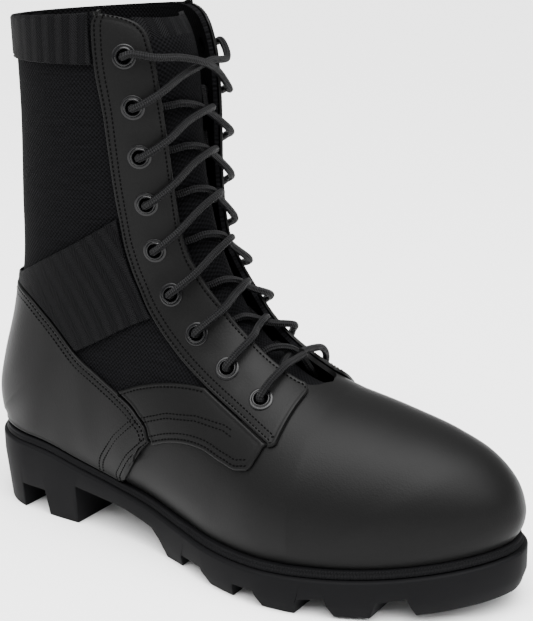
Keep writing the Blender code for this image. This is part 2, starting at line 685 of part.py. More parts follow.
def outline(inset):
    """Closed line in plan at a distance inside the outsole's edge, as pairs at like places.

    Gives two lists, for the outer and the inner side, from the heel's back to the toe's tip.
    """
    round_heel, waist, round_toe = PLAN_COUNTS
    heel_turns = np.linspace(math.pi / 2, 0.0, round_heel)[:-1]
    middle = np.linspace(HEEL_X, BALL_X, waist)
    toe_turns = np.linspace(0.0, math.pi / 2, round_toe)[1:]
    tip = (along_to_x(1.0), TIP_Y)
    lines = {}
    for side in (OUTER, INNER):
        points = [(HEEL_X - HEEL_RADIUS * math.sin(turn), side * plan_half(HEEL_X, side) * math.cos(turn))
                  for turn in heel_turns]
        points += [(x, side * plan_half(x, side)) for x in middle]
        place, power = TOE_OUTER if side == OUTER else TOE_INNER
        start = -place / (1 - place)
        foot = plan_half(BALL_X, side) - side * TIP_Y
        half = foot / blunt(start, power)
        first = math.asin(start ** (power / 2))
        for turn in toe_turns:
            angle = first + (math.pi / 2 - first) * turn / (math.pi / 2)
            share = (math.sin(angle) ** (2 / power) - start) / (1 - start)
            out = half * max(0.0, math.cos(angle)) ** (2 / power)
            points.append((BALL_X + share * (tip[0] - BALL_X), TIP_Y + side * out))
        lines[side] = np.array([(float(x), float(y)) for x, y in points])
    loop = np.concatenate((lines[OUTER], lines[INNER][-2:0:-1]))
    ahead = np.roll(loop, -1, axis=0) - loop
    behind = loop - np.roll(loop, 1, axis=0)
    along = unit(unit(ahead) + unit(behind))
    inward = np.stack((-along[:, 1], along[:, 0]), axis=1)
    depth = np.array([inset(point[0]) for point in loop])
    loop = loop + inward * depth[:, None]
    n = len(lines[OUTER])
    return loop[:n], np.concatenate((loop[:1], loop[:n - 2:-1]))


def ladder(rings, name, finish):
    """Solid between rings of like pairs of side lines: each ring is (outer line, inner line)."""
    work = bmesh.new()
    loops = []
    for outer, inner in rings:
        left = [work.verts.new(point) for point in outer]
        right = [left[0]] + [work.verts.new(point) for point in inner[1:-1]] + [left[-1]]
        loops.append((left, right))
    for (left, right), (left_up, right_up) in zip(loops, loops[1:]):
        for low, high in ((left, left_up), (right, right_up)):
            for i in range(len(low) - 1):
                work.faces.new((low[i], low[i + 1], high[i + 1], high[i]))
    for left, right in (loops[0], loops[-1]):
        for i in range(len(left) - 1):
            corners = []
            for vert in (left[i], left[i + 1], right[i + 1], right[i]):
                if vert not in corners:
                    corners.append(vert)
            work.faces.new(corners)
    return add_object(name, turn_outward(work), finish)


def raised(lines, height):
    """Side lines in plan lifted to a height that follows the boot."""
    return [[(x, y, float(height(x))) for x, y in line] for line in lines]


def prism(work, corners, low, high):
    """Adds a prism to a cutter: corners in the side view, from one y to another."""
    front = [work.verts.new((x, low, z)) for x, z in corners]
    back = [work.verts.new((x, high, z)) for x, z in corners]
    work.faces.new(front)
    work.faces.new(back[::-1])
    for i in range(len(front)):
        j = (i + 1) % len(front)
        work.faces.new((front[j], front[i], back[i], back[j]))


def cutter(name, work):
    """A guide that only cuts: it isn't part of the boot."""
    piece = add_object(name, turn_outward(work), None)
    piece.hide_render = True
    piece.display_type = "WIRE"
    return piece


def cut(piece, tool):
    change = piece.modifiers.new(tool.name, "BOOLEAN")
    change.operation = "DIFFERENCE"
    change.solver = "EXACT"
    change.object = tool


def lug_gap(first, first_top, last_top, last, depth_first, depth_last):
    """Corners of the gap between two lugs in the side view, open below the floor."""
    x = [along_to_x(share) for share in (first, first_top, last_top, last)]
    rises = (0.0, LUG_DEPTH * depth_first, LUG_DEPTH * depth_last, 0.0)
    line = [(place, float(tread_z(place)) + rise) for place, rise in zip(x, rises)]
    return [(x[0], -BEYOND), *line, (x[3], -BEYOND)]


def both_sides(work, corners, near, far):
    """The same prism on the outer and the inner side of the boot."""
    for side in (OUTER, INNER):
        prism(work, corners, *sorted((side * near, side * far)))


def make_outsole():
    low = raised(outline(lambda x: SIDE_DRAFT), tread_z)
    side_low = raised(outline(lambda x: 0.0), lambda x: edge_z(x) - SIDE_BAND)
    side_high = raised(outline(lambda x: 0.0), lambda x: edge_z(x) - TOP_BEVEL)
    top = raised(outline(lambda x: TOP_BEVEL), edge_z)
    sole = ladder((low, side_low, side_high, top), "outsole", RUBBER)
    work = bmesh.new()
    prism(work, [(along_to_x(along), height) for along, height in ARCH_ROWS], -BALL_WIDTH, BALL_WIDTH)
    cut(sole, cutter("cut_arch", work))
    work = bmesh.new()
    for row in LUG_GAPS:
        both_sides(work, lug_gap(*row), (MIDDLE_ROW + MIDDLE_GROOVE) / 2, BALL_WIDTH)
    for first, last in HEEL_GAPS:
        x0, x1 = along_to_x(first), along_to_x(last)
        corners = [(x0, -BEYOND), (x0, HEEL_LUG_DEPTH), (x1 - HEEL_GAP_LEAN, HEEL_LUG_DEPTH), (x1, -BEYOND)]
        both_sides(work, corners, MIDDLE_ROW / 2, BALL_WIDTH)
    cut(sole, cutter("cut_gaps", work))
    work = bmesh.new()
    first, last = [along_to_x(share) for share in MIDDLE_SPAN]
    corners = edge_line(tread_z, first, last, MIDDLE_DEPTH, 0.030) + [(last, -BEYOND), (first, -BEYOND)]
    both_sides(work, corners, MIDDLE_ROW / 2, MIDDLE_ROW / 2 + MIDDLE_GROOVE)
    cut(sole, cutter("cut_grooves", work))
    work = bmesh.new()
    for share in MIDDLE_CUTS:
        x0, x1 = along_to_x(share) - MIDDLE_GROOVE / 2, along_to_x(share) + MIDDLE_GROOVE / 2
        top_z = float(tread_z(x0)) + MIDDLE_DEPTH - FIT_GAP  # its top face keeps clear of the grooves'
        reach = MIDDLE_ROW / 2 + MIDDLE_GROOVE / 2
        prism(work, [(x0, -BEYOND), (x0, top_z), (x1, top_z), (x1, -BEYOND)], -reach, reach)
    cut(sole, cutter("cut_middle", work))
    return sole


def make_welt():
    """The ring between the outsole and the upper."""
    outer_low, outer_high = [outline(lambda x: ledge(x) * share) for share in WELT_STANDS]
    inner = outline(lambda x: ledge(x) + UPPER_WALL + WELT_REACH)
    work = bmesh.new()
    levels = []
    for lines, rise in ((inner, FIT_GAP), (outer_low, FIT_GAP), (outer_high, WELT_HEIGHT - FIT_GAP),
                        (inner, WELT_HEIGHT - FIT_GAP)):
        loop = list(lines[0]) + list(lines[1][-2:0:-1])
        levels.append([work.verts.new((x, y, float(edge_z(x)) + rise)) for x, y in loop])
    count = len(levels[0])
    for a in range(4):
        b = (a + 1) % 4
        for i in range(count):
            j = (i + 1) % count
            work.faces.new((levels[a][i], levels[a][j], levels[b][j], levels[b][i]))
    return add_object("welt", turn_outward(work), RUBBER)


def make_insole():
    lines = outline(lambda x: ledge(x) + UPPER_WALL + WELT_REACH + LAYER_GAP)
    low = raised(lines, lambda x: edge_z(x) + FIT_GAP)
    high = raised(lines, lambda x: edge_z(x) + FIT_GAP + INSOLE_THICKNESS)
    return ladder((low, high), "insole", FELT)


def make_tongue():
    """A curved tongue inside the throat, under the lace; it runs in under the vamp."""
    half_width = smooth(TONGUE_ROWS, 1, BALL_WIDTH)
    drop = smooth(TONGUE_ROWS, 2, TONGUE_DROP)
    columns = TONGUE_COLUMNS
    work = bmesh.new()
    grids = {}
    for step in spaced(*TONGUE_GROUPS):
        for side in (OUTER, INNER):
            points, length = line_of(step, side)
            out = side * (points[:, 1] - float(centre_y(step)))
            reach = float(length[np.nonzero(out >= float(half_width(step)))[0][-1]])
            runs = np.linspace(reach, full_run(step, side), columns + 1)
            row = []
            for run in runs:
                ends = min(run, full_run(step, side) - 0.0012)
                row.append(point_at(step, side, run) - normal_at(step, side, ends) * float(drop(step)))
            row[-1][1] = float(centre_y(step))
            grids.setdefault(side, []).append(row)
    for side, grid in grids.items():
        made = [[work.verts.new(point) for point in row] for row in grid]
        for lower, upper in zip(made, made[1:]):
            for i in range(columns):
                ring = (lower[i], lower[i + 1], upper[i + 1], upper[i])
                work.faces.new(ring if side == OUTER else ring[::-1])
    bmesh.ops.remove_doubles(work, verts=work.verts, dist=0.0008)
    return add_object("tongue", thicken(work, -TONGUE_WALL, 0.0), CANVAS)


def lacing_edge(step, side):
    """Length along a half section to the throat's edge, as if its top were not rounded off."""
    opening = min(float(throat_half(step)), float(throat_half(LAST_STRAIGHT)))
    middle = float(centre_y(step))
    points, length = line_of(step, side)
    out = side * (points[:, 1] - middle)
    last = np.nonzero(out >= opening)[0][-1]
    part = (out[last] - opening) / (out[last] - out[last + 1])
    return float(length[last] + part * (length[last + 1] - length[last]))


def eyelet_run(step, side, toward=0.0):
    """Length along a half section to the middle of the eyestay, or on towards the throat."""
    edge = lacing_edge(step, side)
    middle = edge - (edge - stay_run(step, side)) * float(eyelet_share(step))
    return middle + toward * (edge - middle)


def eyelet_places(side):
    """Centres of the eyelets' row: (point on the form, outward direction, step) from the top."""
    steps = np.linspace(TOP_STEP, 1.25, 400)
    line = []
    for step in steps:
        line.append(point_at(step, side, eyelet_run(step, side)))
    line = np.array(line)
    run = np.concatenate(((0.0,), np.cumsum(np.linalg.norm(np.diff(line, axis=0), axis=1))))
    places = []
    for i in range(EYELET_COUNT):
        step = float(np.interp(FIRST_EYELET + i * EYELET_PITCH, run, steps))
        along = eyelet_run(step, side)
        places.append((point_at(step, side, along), normal_at(step, side, along), step))
    return places


def frame_at(point, out):
    """Placing matrix with its Z along a direction and its X level."""
    z = Vector(out).normalized()
    x = Vector((0, 0, 1)).cross(z).normalized()
    y = z.cross(x)
    turn = Matrix((x, y, z)).transposed().to_4x4()
    return Matrix.Translation(Vector(point)) @ turn


SEAT = LAYER_GAP + OVERLAY_WALL + FIT_GAP  # height of the eyelets' flanges over the form


def make_eyelet(name, place):
    """A turned eyelet: a barrel through eyestay and upper, with a flange on the outside."""
    bore = EYELET_BORE / 2
    barrel = bore + EYELET_BARREL
    flange = EYELET_FLANGE / 2
    foot = -UPPER_WALL - FIT_GAP
    profile = ((bore, foot), (barrel, foot), (barrel, SEAT), (flange, SEAT), (barrel, SEAT + EYELET_RIM))
    work = bmesh.new()
    rings = []
    for i in range(EYELET_SIDES):
        angle = 2 * math.pi * i / EYELET_SIDES
        rings.append([work.verts.new((r * math.cos(angle), r * math.sin(angle), h)) for r, h in profile])
    for i in range(EYELET_SIDES):
        a, b = rings[i], rings[(i + 1) % EYELET_SIDES]
        for j in range(len(profile)):
            k = (j + 1) % len(profile)
            work.faces.new((a[j], b[j], b[k], a[k]))
    piece = add_object(name, turn_outward(work), ENAMEL)
    piece.matrix_world = frame_at(*place[:2])
    return piece


def make_hole_cutter(places):
    work = bmesh.new()
    radius = EYELET_BORE / 2 + EYELET_BARREL + HOLE_GAP
    for point, out, step in places:
        bmesh.ops.create_cone(work, cap_ends=True, segments=EYELET_SIDES, radius1=radius, radius2=radius,
                              depth=2 * (UPPER_WALL + SEAT + EYELET_RIM), matrix=frame_at(point, out))
    return cutter("cut_eyelets", work)


def lace_routes(places):
    """Points that the two ends of the lace follow, from the bar at the bottom to the top."""
    radius = LACE_DIAMETER / 2
    inside = -UPPER_WALL - 5 * FIT_GAP - radius
    outside = SEAT + EYELET_RIM + 3 * FIT_GAP + radius
    over_tongue = -TONGUE_DROP + 3 * FIT_GAP + radius
    bottom = EYELET_COUNT - 1

    def spot(side, step, run, depth):
        return point_at(step, side, run) + normal_at(step, side, run) * depth

    def through(side, index, depth, shift=0.0):
        """On the eyelet's own axis, or a little off it towards the throat."""
        point, out, step = places[side][index]
        run = eyelet_run(step, side, shift)
        return point + out * depth + (point_at(step, side, run) - point)

    def beside(side, index, depth, share):
        """Between an eyelet and the throat's edge."""
        step = places[side][index][2]
        return spot(side, step, eyelet_run(step, side, share), depth)

    def across(side, step, share, depth):
        """Over the tongue, at a share of the way from the throat's edge to the ridge."""
        edge_run = lacing_edge(step, side)
        run = edge_run + share * (full_run(step, side) - edge_run)
        return spot(side, step, min(run, full_run(step, side) - 0.0012), depth)

    def ridge(step, depth):
        left = across(OUTER, step, 1.0, depth)
        right = across(INNER, step, 1.0, depth)
        return (left + right) / 2

    def span(side, first, second, start, rise, end):
        """Points between an eyelet and the one across, at depths for start, middle and end."""
        one = places[side][first][2]
        two = places[-side][second][2]
        quarter = (0.75 * one + 0.25 * two, 0.25 * one + 0.75 * two)
        low = over_tongue + max(0.0, rise) * 0.75
        step_up = LACE_DIAMETER / 2
        return [
            beside(side, first, start, 0.95),
            across(side, quarter[0], 0.5, low + (step_up if start > 0 else 0.0)),
            ridge((one + two) / 2, over_tongue + rise),
            across(-side, quarter[1], 0.5, low + (step_up if end > 0 else 0.0)),
            beside(-side, second, end, 0.95),
        ]

    def into_hole(side, index):
        """Points from inside the boot up through an eyelet and over its rim."""
        return [beside(side, index, inside, 0.40), through(side, index, inside + radius * 0.3, 0.04),
                through(side, index, 0.0), through(side, index, outside - radius * 0.5, 0.0),
                beside(side, index, outside + radius * 0.3, 0.28)]

    lift = LACE_DIAMETER * 0.93
    routes = []
    for side in (OUTER, INNER):
        first_side = side == OUTER
        step = places[side][bottom][2]
        route = [ridge(step, over_tongue + 2.2 * lift), across(side, step, 0.4, outside * 0.6),
                 beside(side, bottom, outside, 0.9), *into_hole(side, bottom)[::-1]]
        route += span(side, bottom, bottom - 1, inside, 0.0 if first_side else lift, inside)
        side = -side
        for index in range(bottom - 1, 0, -1):
            route += into_hole(side, index)
            last = index == 1
            over = (index % 2 == 0) == first_side
            rise = (1.7 * lift if first_side else 0.7 * lift) if last else (lift if over else 0.0)
            route += span(side, index, index - 1, outside, rise, outside if last else inside)
            side = -side
        route += into_hole(side, 0)[:1:-1]
        routes.append(route)
    return routes


def make_lace(places):
    """Both ends of the lace, joined where they cross over the tongue."""
    pieces = []
    for name, route in zip(("lace", "lace_other_end"), lace_routes(places)):
        pieces.append(add_object(name, tube(route, LACE_DIAMETER / 2, LACE_SIDES, LACE_SPACING), CORD))
    lace, other = pieces
    other.hide_render = True
    other.display_type = "WIRE"
    join = lace.modifiers.new("other_end", "BOOLEAN")
    join.operation = "UNION"
    join.solver = "EXACT"
    join.object = other
    return lace


def tube(points, radius, sides, spacing):
    """Closed tube along a smooth curve through the points."""
    line = smooth_line(points, spacing)
    work = bmesh.new()
    ahead = line[1] - line[0]
    across = np.cross(ahead, (0.0, 0.0, 1.0))
    across /= np.linalg.norm(across)
    rings = []
    for i, point in enumerate(line):
        ahead = line[min(i + 1, len(line) - 1)] - line[max(i - 1, 0)]
        ahead /= np.linalg.norm(ahead)
        across = across - ahead * np.dot(across, ahead)
        across /= np.linalg.norm(across)
        up = np.cross(ahead, across)
        ring = []
        for k in range(sides):
            angle = 2 * math.pi * k / sides
            ring.append(work.verts.new(point + radius * (math.cos(angle) * across + math.sin(angle) * up)))
        rings.append(ring)
    for a, b in zip(rings, rings[1:]):
        for k in range(sides):
            m = (k + 1) % sides
            work.faces.new((a[k], a[m], b[m], b[k]))
    work.faces.new(rings[0])
    work.faces.new(rings[-1])
    return turn_outward(work)


def smooth_line(points, spacing):
    """Points along a smooth curve through the given ones, no further apart than a spacing."""
    points = np.array(points, float)
    gaps = np.linalg.norm(np.diff(points, axis=0), axis=1)
    run = np.concatenate(((0.0,), np.cumsum(gaps ** 0.5)))
    rows = [(t, *point) for t, point in zip(run, points)]
    curves = [smooth(rows, 1 + axis) for axis in range(3)]
    places = [0.0]
    for first, last, gap in zip(run, run[1:], gaps):
        count = max(1, round(gap / spacing))
        places.extend(np.linspace(first, last, count + 1)[1:])
    return np.stack([curve(np.array(places)) for curve in curves], axis=1)


def main():
    for item in list(bpy.data.objects):
        bpy.data.objects.remove(item, do_unlink=True)
    make_outsole()
    make_welt()
    make_insole()
    upper = make_upper()
    make_tongue()
    panel("heel_counter", upper_steps(*COUNTER_SPAN), counter_corners(), LEATHER)
    panel("ankle_web", upper_steps(*WEB_SPAN), web_corners(), WEBBING)
    panel("collar_tape", upper_steps(*COLLAR_SPAN), collar_corners(), WEBBING)
    stays = {}
    for side, word in ((OUTER, "outer"), (INNER, "inner")):
        steps = steps_between(STAY_END[0], TOP_STEP)
        stays[side] = overlay("eyestay_" + word, steps, stay_limits, LEATHER, (side,))
        steps = upper_steps(*PATCH_SPAN)
        panel("instep_patch_" + word, steps, patch_corners(), LEATHER, (side,))
    places = {side: eyelet_places(side) for side in (OUTER, INNER)}
    holes = make_hole_cutter(places[OUTER] + places[INNER])
    for piece in (upper, stays[OUTER], stays[INNER]):
        cut(piece, holes)
    for side, word in ((OUTER, "outer"), (INNER, "inner")):
        for i, place in enumerate(places[side]):
            make_eyelet("eyelet_%s_%d" % (word, i + 1), place)
    make_lace(places)


if __name__ == "__main__":
    main()
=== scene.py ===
"""Jungle boot, right foot: the finish of every surface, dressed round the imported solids.

Laid out as an add-on: sizes and colours are properties, each group of pieces has its operator.
Metres, +Z up, +X to the toe, +Y to the inner side of the foot, the origin on the floor.
"""

import math

import bmesh
import bpy
import numpy as np
from mathutils import Matrix, Vector


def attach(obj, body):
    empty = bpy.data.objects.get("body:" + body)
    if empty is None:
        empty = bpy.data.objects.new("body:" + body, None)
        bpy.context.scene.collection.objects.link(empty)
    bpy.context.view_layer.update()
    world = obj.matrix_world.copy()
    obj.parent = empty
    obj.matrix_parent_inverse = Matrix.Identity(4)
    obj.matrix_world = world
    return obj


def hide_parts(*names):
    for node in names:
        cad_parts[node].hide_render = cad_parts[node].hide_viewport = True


bl_info = {
    "name": "Jungle Boot",
    "version": (1, 0, 0),
    "blender": (4, 5, 0),
    "location": "View3D > Sidebar > Boot",
    "description": "Models a laced jungle boot and its studio",
    "category": "Add Mesh",
}

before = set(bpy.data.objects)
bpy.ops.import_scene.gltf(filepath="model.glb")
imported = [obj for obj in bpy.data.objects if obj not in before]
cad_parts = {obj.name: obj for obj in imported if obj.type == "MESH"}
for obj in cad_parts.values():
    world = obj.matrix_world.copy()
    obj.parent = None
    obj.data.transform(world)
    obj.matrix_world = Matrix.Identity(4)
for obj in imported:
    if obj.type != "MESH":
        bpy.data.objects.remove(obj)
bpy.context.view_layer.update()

MM = 0.001
FINE = 0.001               # spacing of the points along the overlays' edges
HALF_POINTS = 700          # points of a half section, before it is divided
PLAN_COUNTS = (26, 70, 60)  # points of the outline round the heel, along the waist, round the toe

# The boot's own sizes, as its solids have them

# Driving dimensions
SOLE_LENGTH = 0.308
BALL_WIDTH = 0.112
BOOT_HEIGHT = 0.270
HEEL_EDGE = 0.040          # top of the outsole's side at the heel
WELT_HEIGHT = 0.0042
UPPER_WALL = 0.0022
OVERLAY_WALL = 0.0017
TONGUE_WALL = 0.0026
TONGUE_DROP = 0.0079       # tongue's face below the upper's outer face, room for the lace
LACE_DIAMETER = 0.0038
EYELET_COUNT = 9
EYELET_PITCH = 0.0236
EYELET_BORE = 0.0064
EYELET_BARREL = 0.0005
EYELET_FLANGE = 0.0116
EYELET_RIM = 0.0010
FIRST_EYELET = 0.0215      # from the collar's top
COLLAR_TAPE = 0.0240       # height of the tape round the collar
LUG_DEPTH = 0.0078
HEEL_LUG_DEPTH = 0.0145
HEEL_GAP_LEAN = 0.0030
MIDDLE_ROW = 0.028         # width of the middle row of lugs
MIDDLE_GROOVE = 0.0046     # width of the grooves round that row
MIDDLE_DEPTH = 0.0055
SIDE_DRAFT = 0.0022        # the outsole's side runs in by this towards the tread
SIDE_BAND = 0.0125         # height of the upright band at the top of its side
TOP_BEVEL = 0.0010
WELT_REACH = 0.0024        # how far the welt reaches in under the upper's wall
FIT_GAP = 0.0003
LAYER_GAP = 0.0005         # curved faces lie a little further apart
LIFT = 0.0012              # overlays start this far above the welt
SEAM_GAP = 0.0010          # between the edges of two overlays
BEYOND = 0.010             # how far a cutter reaches past what it cuts

# Outsole: the top edge of its side, shares of HEEL_EDGE
EDGE_ROWS = (  # along, height
    (0.00, 1.000), (0.117, 0.992), (0.180, 0.942), (0.234, 0.843), (0.289, 0.755), (0.342, 0.675),
    (0.398, 0.600), (0.458, 0.515), (0.519, 0.468), (0.610, 0.455), (0.701, 0.472), (0.776, 0.500),
    (0.841, 0.550), (0.906, 0.625), (1.000, 0.765),
)

# Outsole: half widths behind the toe's curve; the ledge is how far it stands out past the upper
PLAN_ROWS = (  # along, outer side, inner side, ledge in metres
    (0.125, 0.343, 0.339, 0.0046), (0.182, 0.346, 0.337, 0.0046), (0.250, 0.342, 0.323, 0.0047),
    (0.321, 0.341, 0.304, 0.0050), (0.399, 0.360, 0.293, 0.0055), (0.481, 0.416, 0.318, 0.0060),
    (0.549, 0.477, 0.379, 0.0063), (0.607, 0.509, 0.433, 0.0062), (0.659, 0.516, 0.468, 0.0060),
    (0.705, 0.502, 0.481, 0.0060),
)

# Outsole: height of the tread above the floor, the toe's spring
SPRING_ROWS = (  # along, height in metres
    (0.00, 0.0), (0.716, 0.0), (0.775, 0.0010), (0.825, 0.0022), (0.888, 0.0046), (0.955, 0.0084),
    (1.00, 0.0112),
)
TOE_ALONG = 0.705          # where the toe's curve starts
HEEL_ALONG = 0.125         # where the heel's curve starts
TOE_INWARD = 0.054         # the toe's tip lies this far to the inner side

# Toe in plan: where it is widest (share of its length, behind its start) and how blunt it is
TOE_OUTER = (-0.46, 1.72)
TOE_INNER = (-0.02, 2.10)

# Gaps between the lugs at the sides: the feet and tops of the lugs behind and ahead of each
LUG_GAPS = (  # along: first, first_top, last_top, last; depths at the tops in shares of LUG_DEPTH
    (0.4818, 0.4873, 0.5351, 0.5552, 0.96, 0.96), (0.6071, 0.6104, 0.6487, 0.6623, 0.97, 0.97),
    (0.7162, 0.7240, 0.7630, 0.7750, 1.09, 1.22), (0.8266, 0.8370, 0.8779, 0.8864, 1.08, 1.24),
    (0.9560, 0.9580, 0.9690, 0.9740, 0.44, 0.44),
)
HEEL_GAPS = ((0.106, 0.170),)  # along: first, last
MIDDLE_SPAN = (0.462, 0.930)   # grooves beside the middle row
MIDDLE_CUTS = (0.520, 0.582, 0.637, 0.692, 0.748, 0.803, 0.860)
ARCH_ROWS = (  # along, height in metres: underside between heel and forefoot
    (0.232, -0.002), (0.237, 0.0225), (0.348, 0.0180), (0.408, 0.0138), (0.425, 0.0095), (0.438, 0.0018),
    (0.445, -0.002),
)

# Sections of the upper. Each lies in a plane across the boot, through a point of the sole or
# the back and a point of the front. The toe's planes turn about one line at the ball.
TOE_ROWS = (  # turn (share of a right angle), along, height
    (0.000, 0.981, 0.1245), (0.045, 0.9915, 0.144), (0.100, 0.9955, 0.167), (0.165, 0.992, 0.191),
    (0.235, 0.9825, 0.217), (0.320, 0.963, 0.2445), (0.420, 0.930, 0.272), (0.540, 0.8766, 0.2955),
    (0.720, 0.7987, 0.317), (1.000, 0.700, 0.340),
)

# base: share of the way from the ball along the feather line to the heel's back
# wide_outer and wide_inner: half widths, wide_at: how far up the section they lie
BODY_ROWS = (  # step, along, height, base, wide_outer, wide_inner, wide_at, blunt_low, blunt_high, centre
    (1.00, 0.700, 0.340, 0.000, 0.478, 0.451, 0.20, 2.20, 1.95, 0.045),
    (1.30, 0.649, 0.3615, 0.095, 0.482, 0.424, 0.20, 2.20, 1.95, 0.040),
    (1.60, 0.6055, 0.391, 0.203, 0.451, 0.380, 0.22, 2.20, 1.95, 0.036),
    (1.90, 0.570, 0.424, 0.323, 0.411, 0.344, 0.27, 2.20, 1.95, 0.030),
    (2.20, 0.542, 0.461, 0.460, 0.373, 0.330, 0.30, 2.30, 1.95, 0.022),
    (2.50, 0.523, 0.500, 0.601, 0.346, 0.326, 0.30, 2.30, 2.00, 0.016),
    (2.80, 0.508, 0.5425, 0.740, 0.333, 0.322, 0.30, 2.30, 2.00, 0.009),
    (3.05, 0.495, 0.583, 0.855, 0.330, 0.321, 0.30, 2.30, 2.00, 0.005),
    (3.30, 0.4855, 0.6185, 1.000, 0.329, 0.321, 0.31, 2.35, 2.00, 0.003),
    (3.60, 0.477, 0.659, 1.000, 0.330, 0.323, 0.33, 2.35, 2.00, 0.0),
    (3.90, 0.469, 0.698, 1.000, 0.334, 0.328, 0.36, 2.30, 2.00, 0.0),
    (4.30, 0.461, 0.748, 1.000, 0.342, 0.338, 0.40, 2.20, 2.00, 0.0),
    (4.70, 0.455, 0.796, 1.000, 0.355, 0.3535, 0.44, 2.10, 2.00, 0.0),
    (5.20, 0.451, 0.863, 1.000, 0.364, 0.364, 0.48, 2.05, 2.00, 0.0),
    (5.70, 0.443, 0.933, 1.000, 0.368, 0.368, 0.50, 2.00, 2.00, 0.0),
    (6.10, 0.4285, 0.978, 1.000, 0.366, 0.366, 0.50, 2.00, 2.00, 0.0),
    (6.40, 0.411, 1.0055, 1.000, 0.3625, 0.3625, 0.50, 2.00, 2.00, 0.0),
)
BACK_ROWS = (  # step, along, height
    (3.60, 0.0125, 0.215), (3.90, 0.0280, 0.285), (4.30, 0.0570, 0.385), (4.70, 0.0785, 0.489),
    (5.20, 0.086, 0.633), (5.70, 0.094, 0.789), (6.10, 0.0965, 0.900), (6.40, 0.0975, 0.985),
)
HEEL_STEP = 3.30           # the section that reaches the heel's back at the feather line
TOP_STEP = 6.40
LAST_STRAIGHT = 6.10       # above it the throat's edge turns back, round the eyestay's top
THROAT_ROWS = (  # step, half opening
    (1.17, 0.0), (1.19, 0.045), (1.23, 0.085), (1.30, 0.116), (1.42, 0.130), (1.60, 0.134),
    (2.10, 0.135), (2.90, 0.152), (3.50, 0.160), (4.00, 0.166), (4.50, 0.177), (5.05, 0.194),
    (5.45, 0.205), (5.84, 0.211), (6.10, 0.217), (6.22, 0.235), (6.32, 0.272), (6.40, 0.325),
)

# Edges of the overlays in the side view
STAY_EDGE = (  # height, along: rear edge of the eyestay
    (0.275, 0.655), (0.318, 0.5705), (0.3485, 0.5175), (0.3775, 0.4755), (0.4145, 0.435),
    (0.460, 0.398), (0.5085, 0.3735), (0.571, 0.356), (0.639, 0.350), (0.748, 0.347),
    (0.832, 0.343), (0.908, 0.334), (0.9955, 0.327),
)
COUNTER_EDGE = (  # along, height: top edge of the heel counter
    (-0.02, 0.485), (0.075, 0.482), (0.118, 0.476), (0.168, 0.458), (0.198, 0.428), (0.249, 0.365),
    (0.306, 0.327), (0.349, 0.302), (0.390, 0.273), (0.418, 0.234), (0.426, 0.200), (0.430, 0.080),
)
WEB_TOP = (  # along, height
    (-0.02, 0.487), (0.078, 0.490), (0.125, 0.5005), (0.217, 0.5515), (0.290, 0.597), (0.350, 0.639),
)
WEB_LOW = (  # along, height
    (0.200, 0.340), (0.249, 0.3645), (0.306, 0.398), (0.354, 0.428), (0.398, 0.4525),
)
PATCH_TOP = (  # along, height: top edge of the instep patch
    (0.300, 0.292), (0.341, 0.307), (0.387, 0.3285), (0.4445, 0.345), (0.4995, 0.349),
    (0.560, 0.340),
)
PATCH_LOW = (  # along, height
    (0.400, 0.210), (0.423, 0.224), (0.4795, 0.246), (0.534, 0.248), (0.5745, 0.2367),
    (0.611, 0.233), (0.632, 0.248), (0.640, 0.274),
)
TAIL = (  # along, height: front edge of the heel counter, from its point down to the welt
    (0.4225, 0.225), (0.380, 0.181), (0.3465, 0.133), (0.339, 0.100),
)
EYELET_LINE = (  # step, how far the eyelets lie from the throat: share of the eyestay's width
    (1.30, 0.600), (2.00, 0.580), (2.90, 0.535), (3.60, 0.495), (4.70, 0.475), (6.10, 0.455),
)
STAY_END = (1.225, 0.120)  # lower end of the eyestay: section, and half opening there
STAY_FOOT = 1.42           # below this section the eyestay's front edge runs straight down
STAY_ROUND = (6.2, 0.004)  # above this section its rear edge rounds off, by so much at the top
TONGUE_ROWS = (  # step, half width, drop below the upper's outer face (share of TONGUE_DROP)
    (1.02, 0.150, 0.38), (1.12, 0.170, 0.44), (1.22, 0.190, 0.72), (1.38, 0.225, 1.00),
    (1.80, 0.240, 1.00), (3.00, 0.260, 1.00), (4.50, 0.290, 1.00), (5.60, 0.305, 1.00),
    (6.10, 0.300, 1.00), (6.30, 0.270, 1.00), (6.38, 0.220, 1.00),
)
OUTER = -1
INNER = 1


def run_along(points):
    """Length run along a line at each of its points."""
    return np.concatenate(((0.0,), np.cumsum(np.linalg.norm(np.diff(points, axis=0), axis=1))))


def placed(run, length, points):
    """Places on a line of points at lengths along it."""
    return np.stack([np.interp(run, length, points[:, i]) for i in range(points.shape[1])], axis=-1)


def smooth(rows, column, scale=1.0):
    """A smooth curve through one column of a table, as a function of the first column."""
    x = np.array([row[0] for row in rows], float)
    y = np.array([row[column] for row in rows], float) * scale
    step = np.diff(x)
    rise = np.diff(y) / step
    slope = np.empty_like(y)
    slope[1:-1] = (rise[:-1] * step[1:] + rise[1:] * step[:-1]) / (step[1:] + step[:-1])
    slope[0] = 1.5 * rise[0] - 0.5 * slope[1]
    slope[-1] = 1.5 * rise[-1] - 0.5 * slope[-2]

    def at(value):
        value = np.clip(value, x[0], x[-1])
        i = np.clip(np.searchsorted(x, value) - 1, 0, len(x) - 2)
        s = (value - x[i]) / step[i]
        return (y[i] * (1 + 2 * s) * (1 - s) ** 2 + slope[i] * step[i] * s * (1 - s) ** 2
                + y[i + 1] * s * s * (3 - 2 * s) + slope[i + 1] * step[i] * s * s * (s - 1))

    return at


def along_to_x(share):
    return (share - 0.5) * SOLE_LENGTH


def in_metres(rows, *columns):
    """A table with its along and height columns turned to metres, in the order given."""
    turn = {"along": along_to_x, "height": lambda share: share * BOOT_HEIGHT}
    return tuple(tuple(turn[name](value) for name, value in zip(columns, row)) for row in rows)


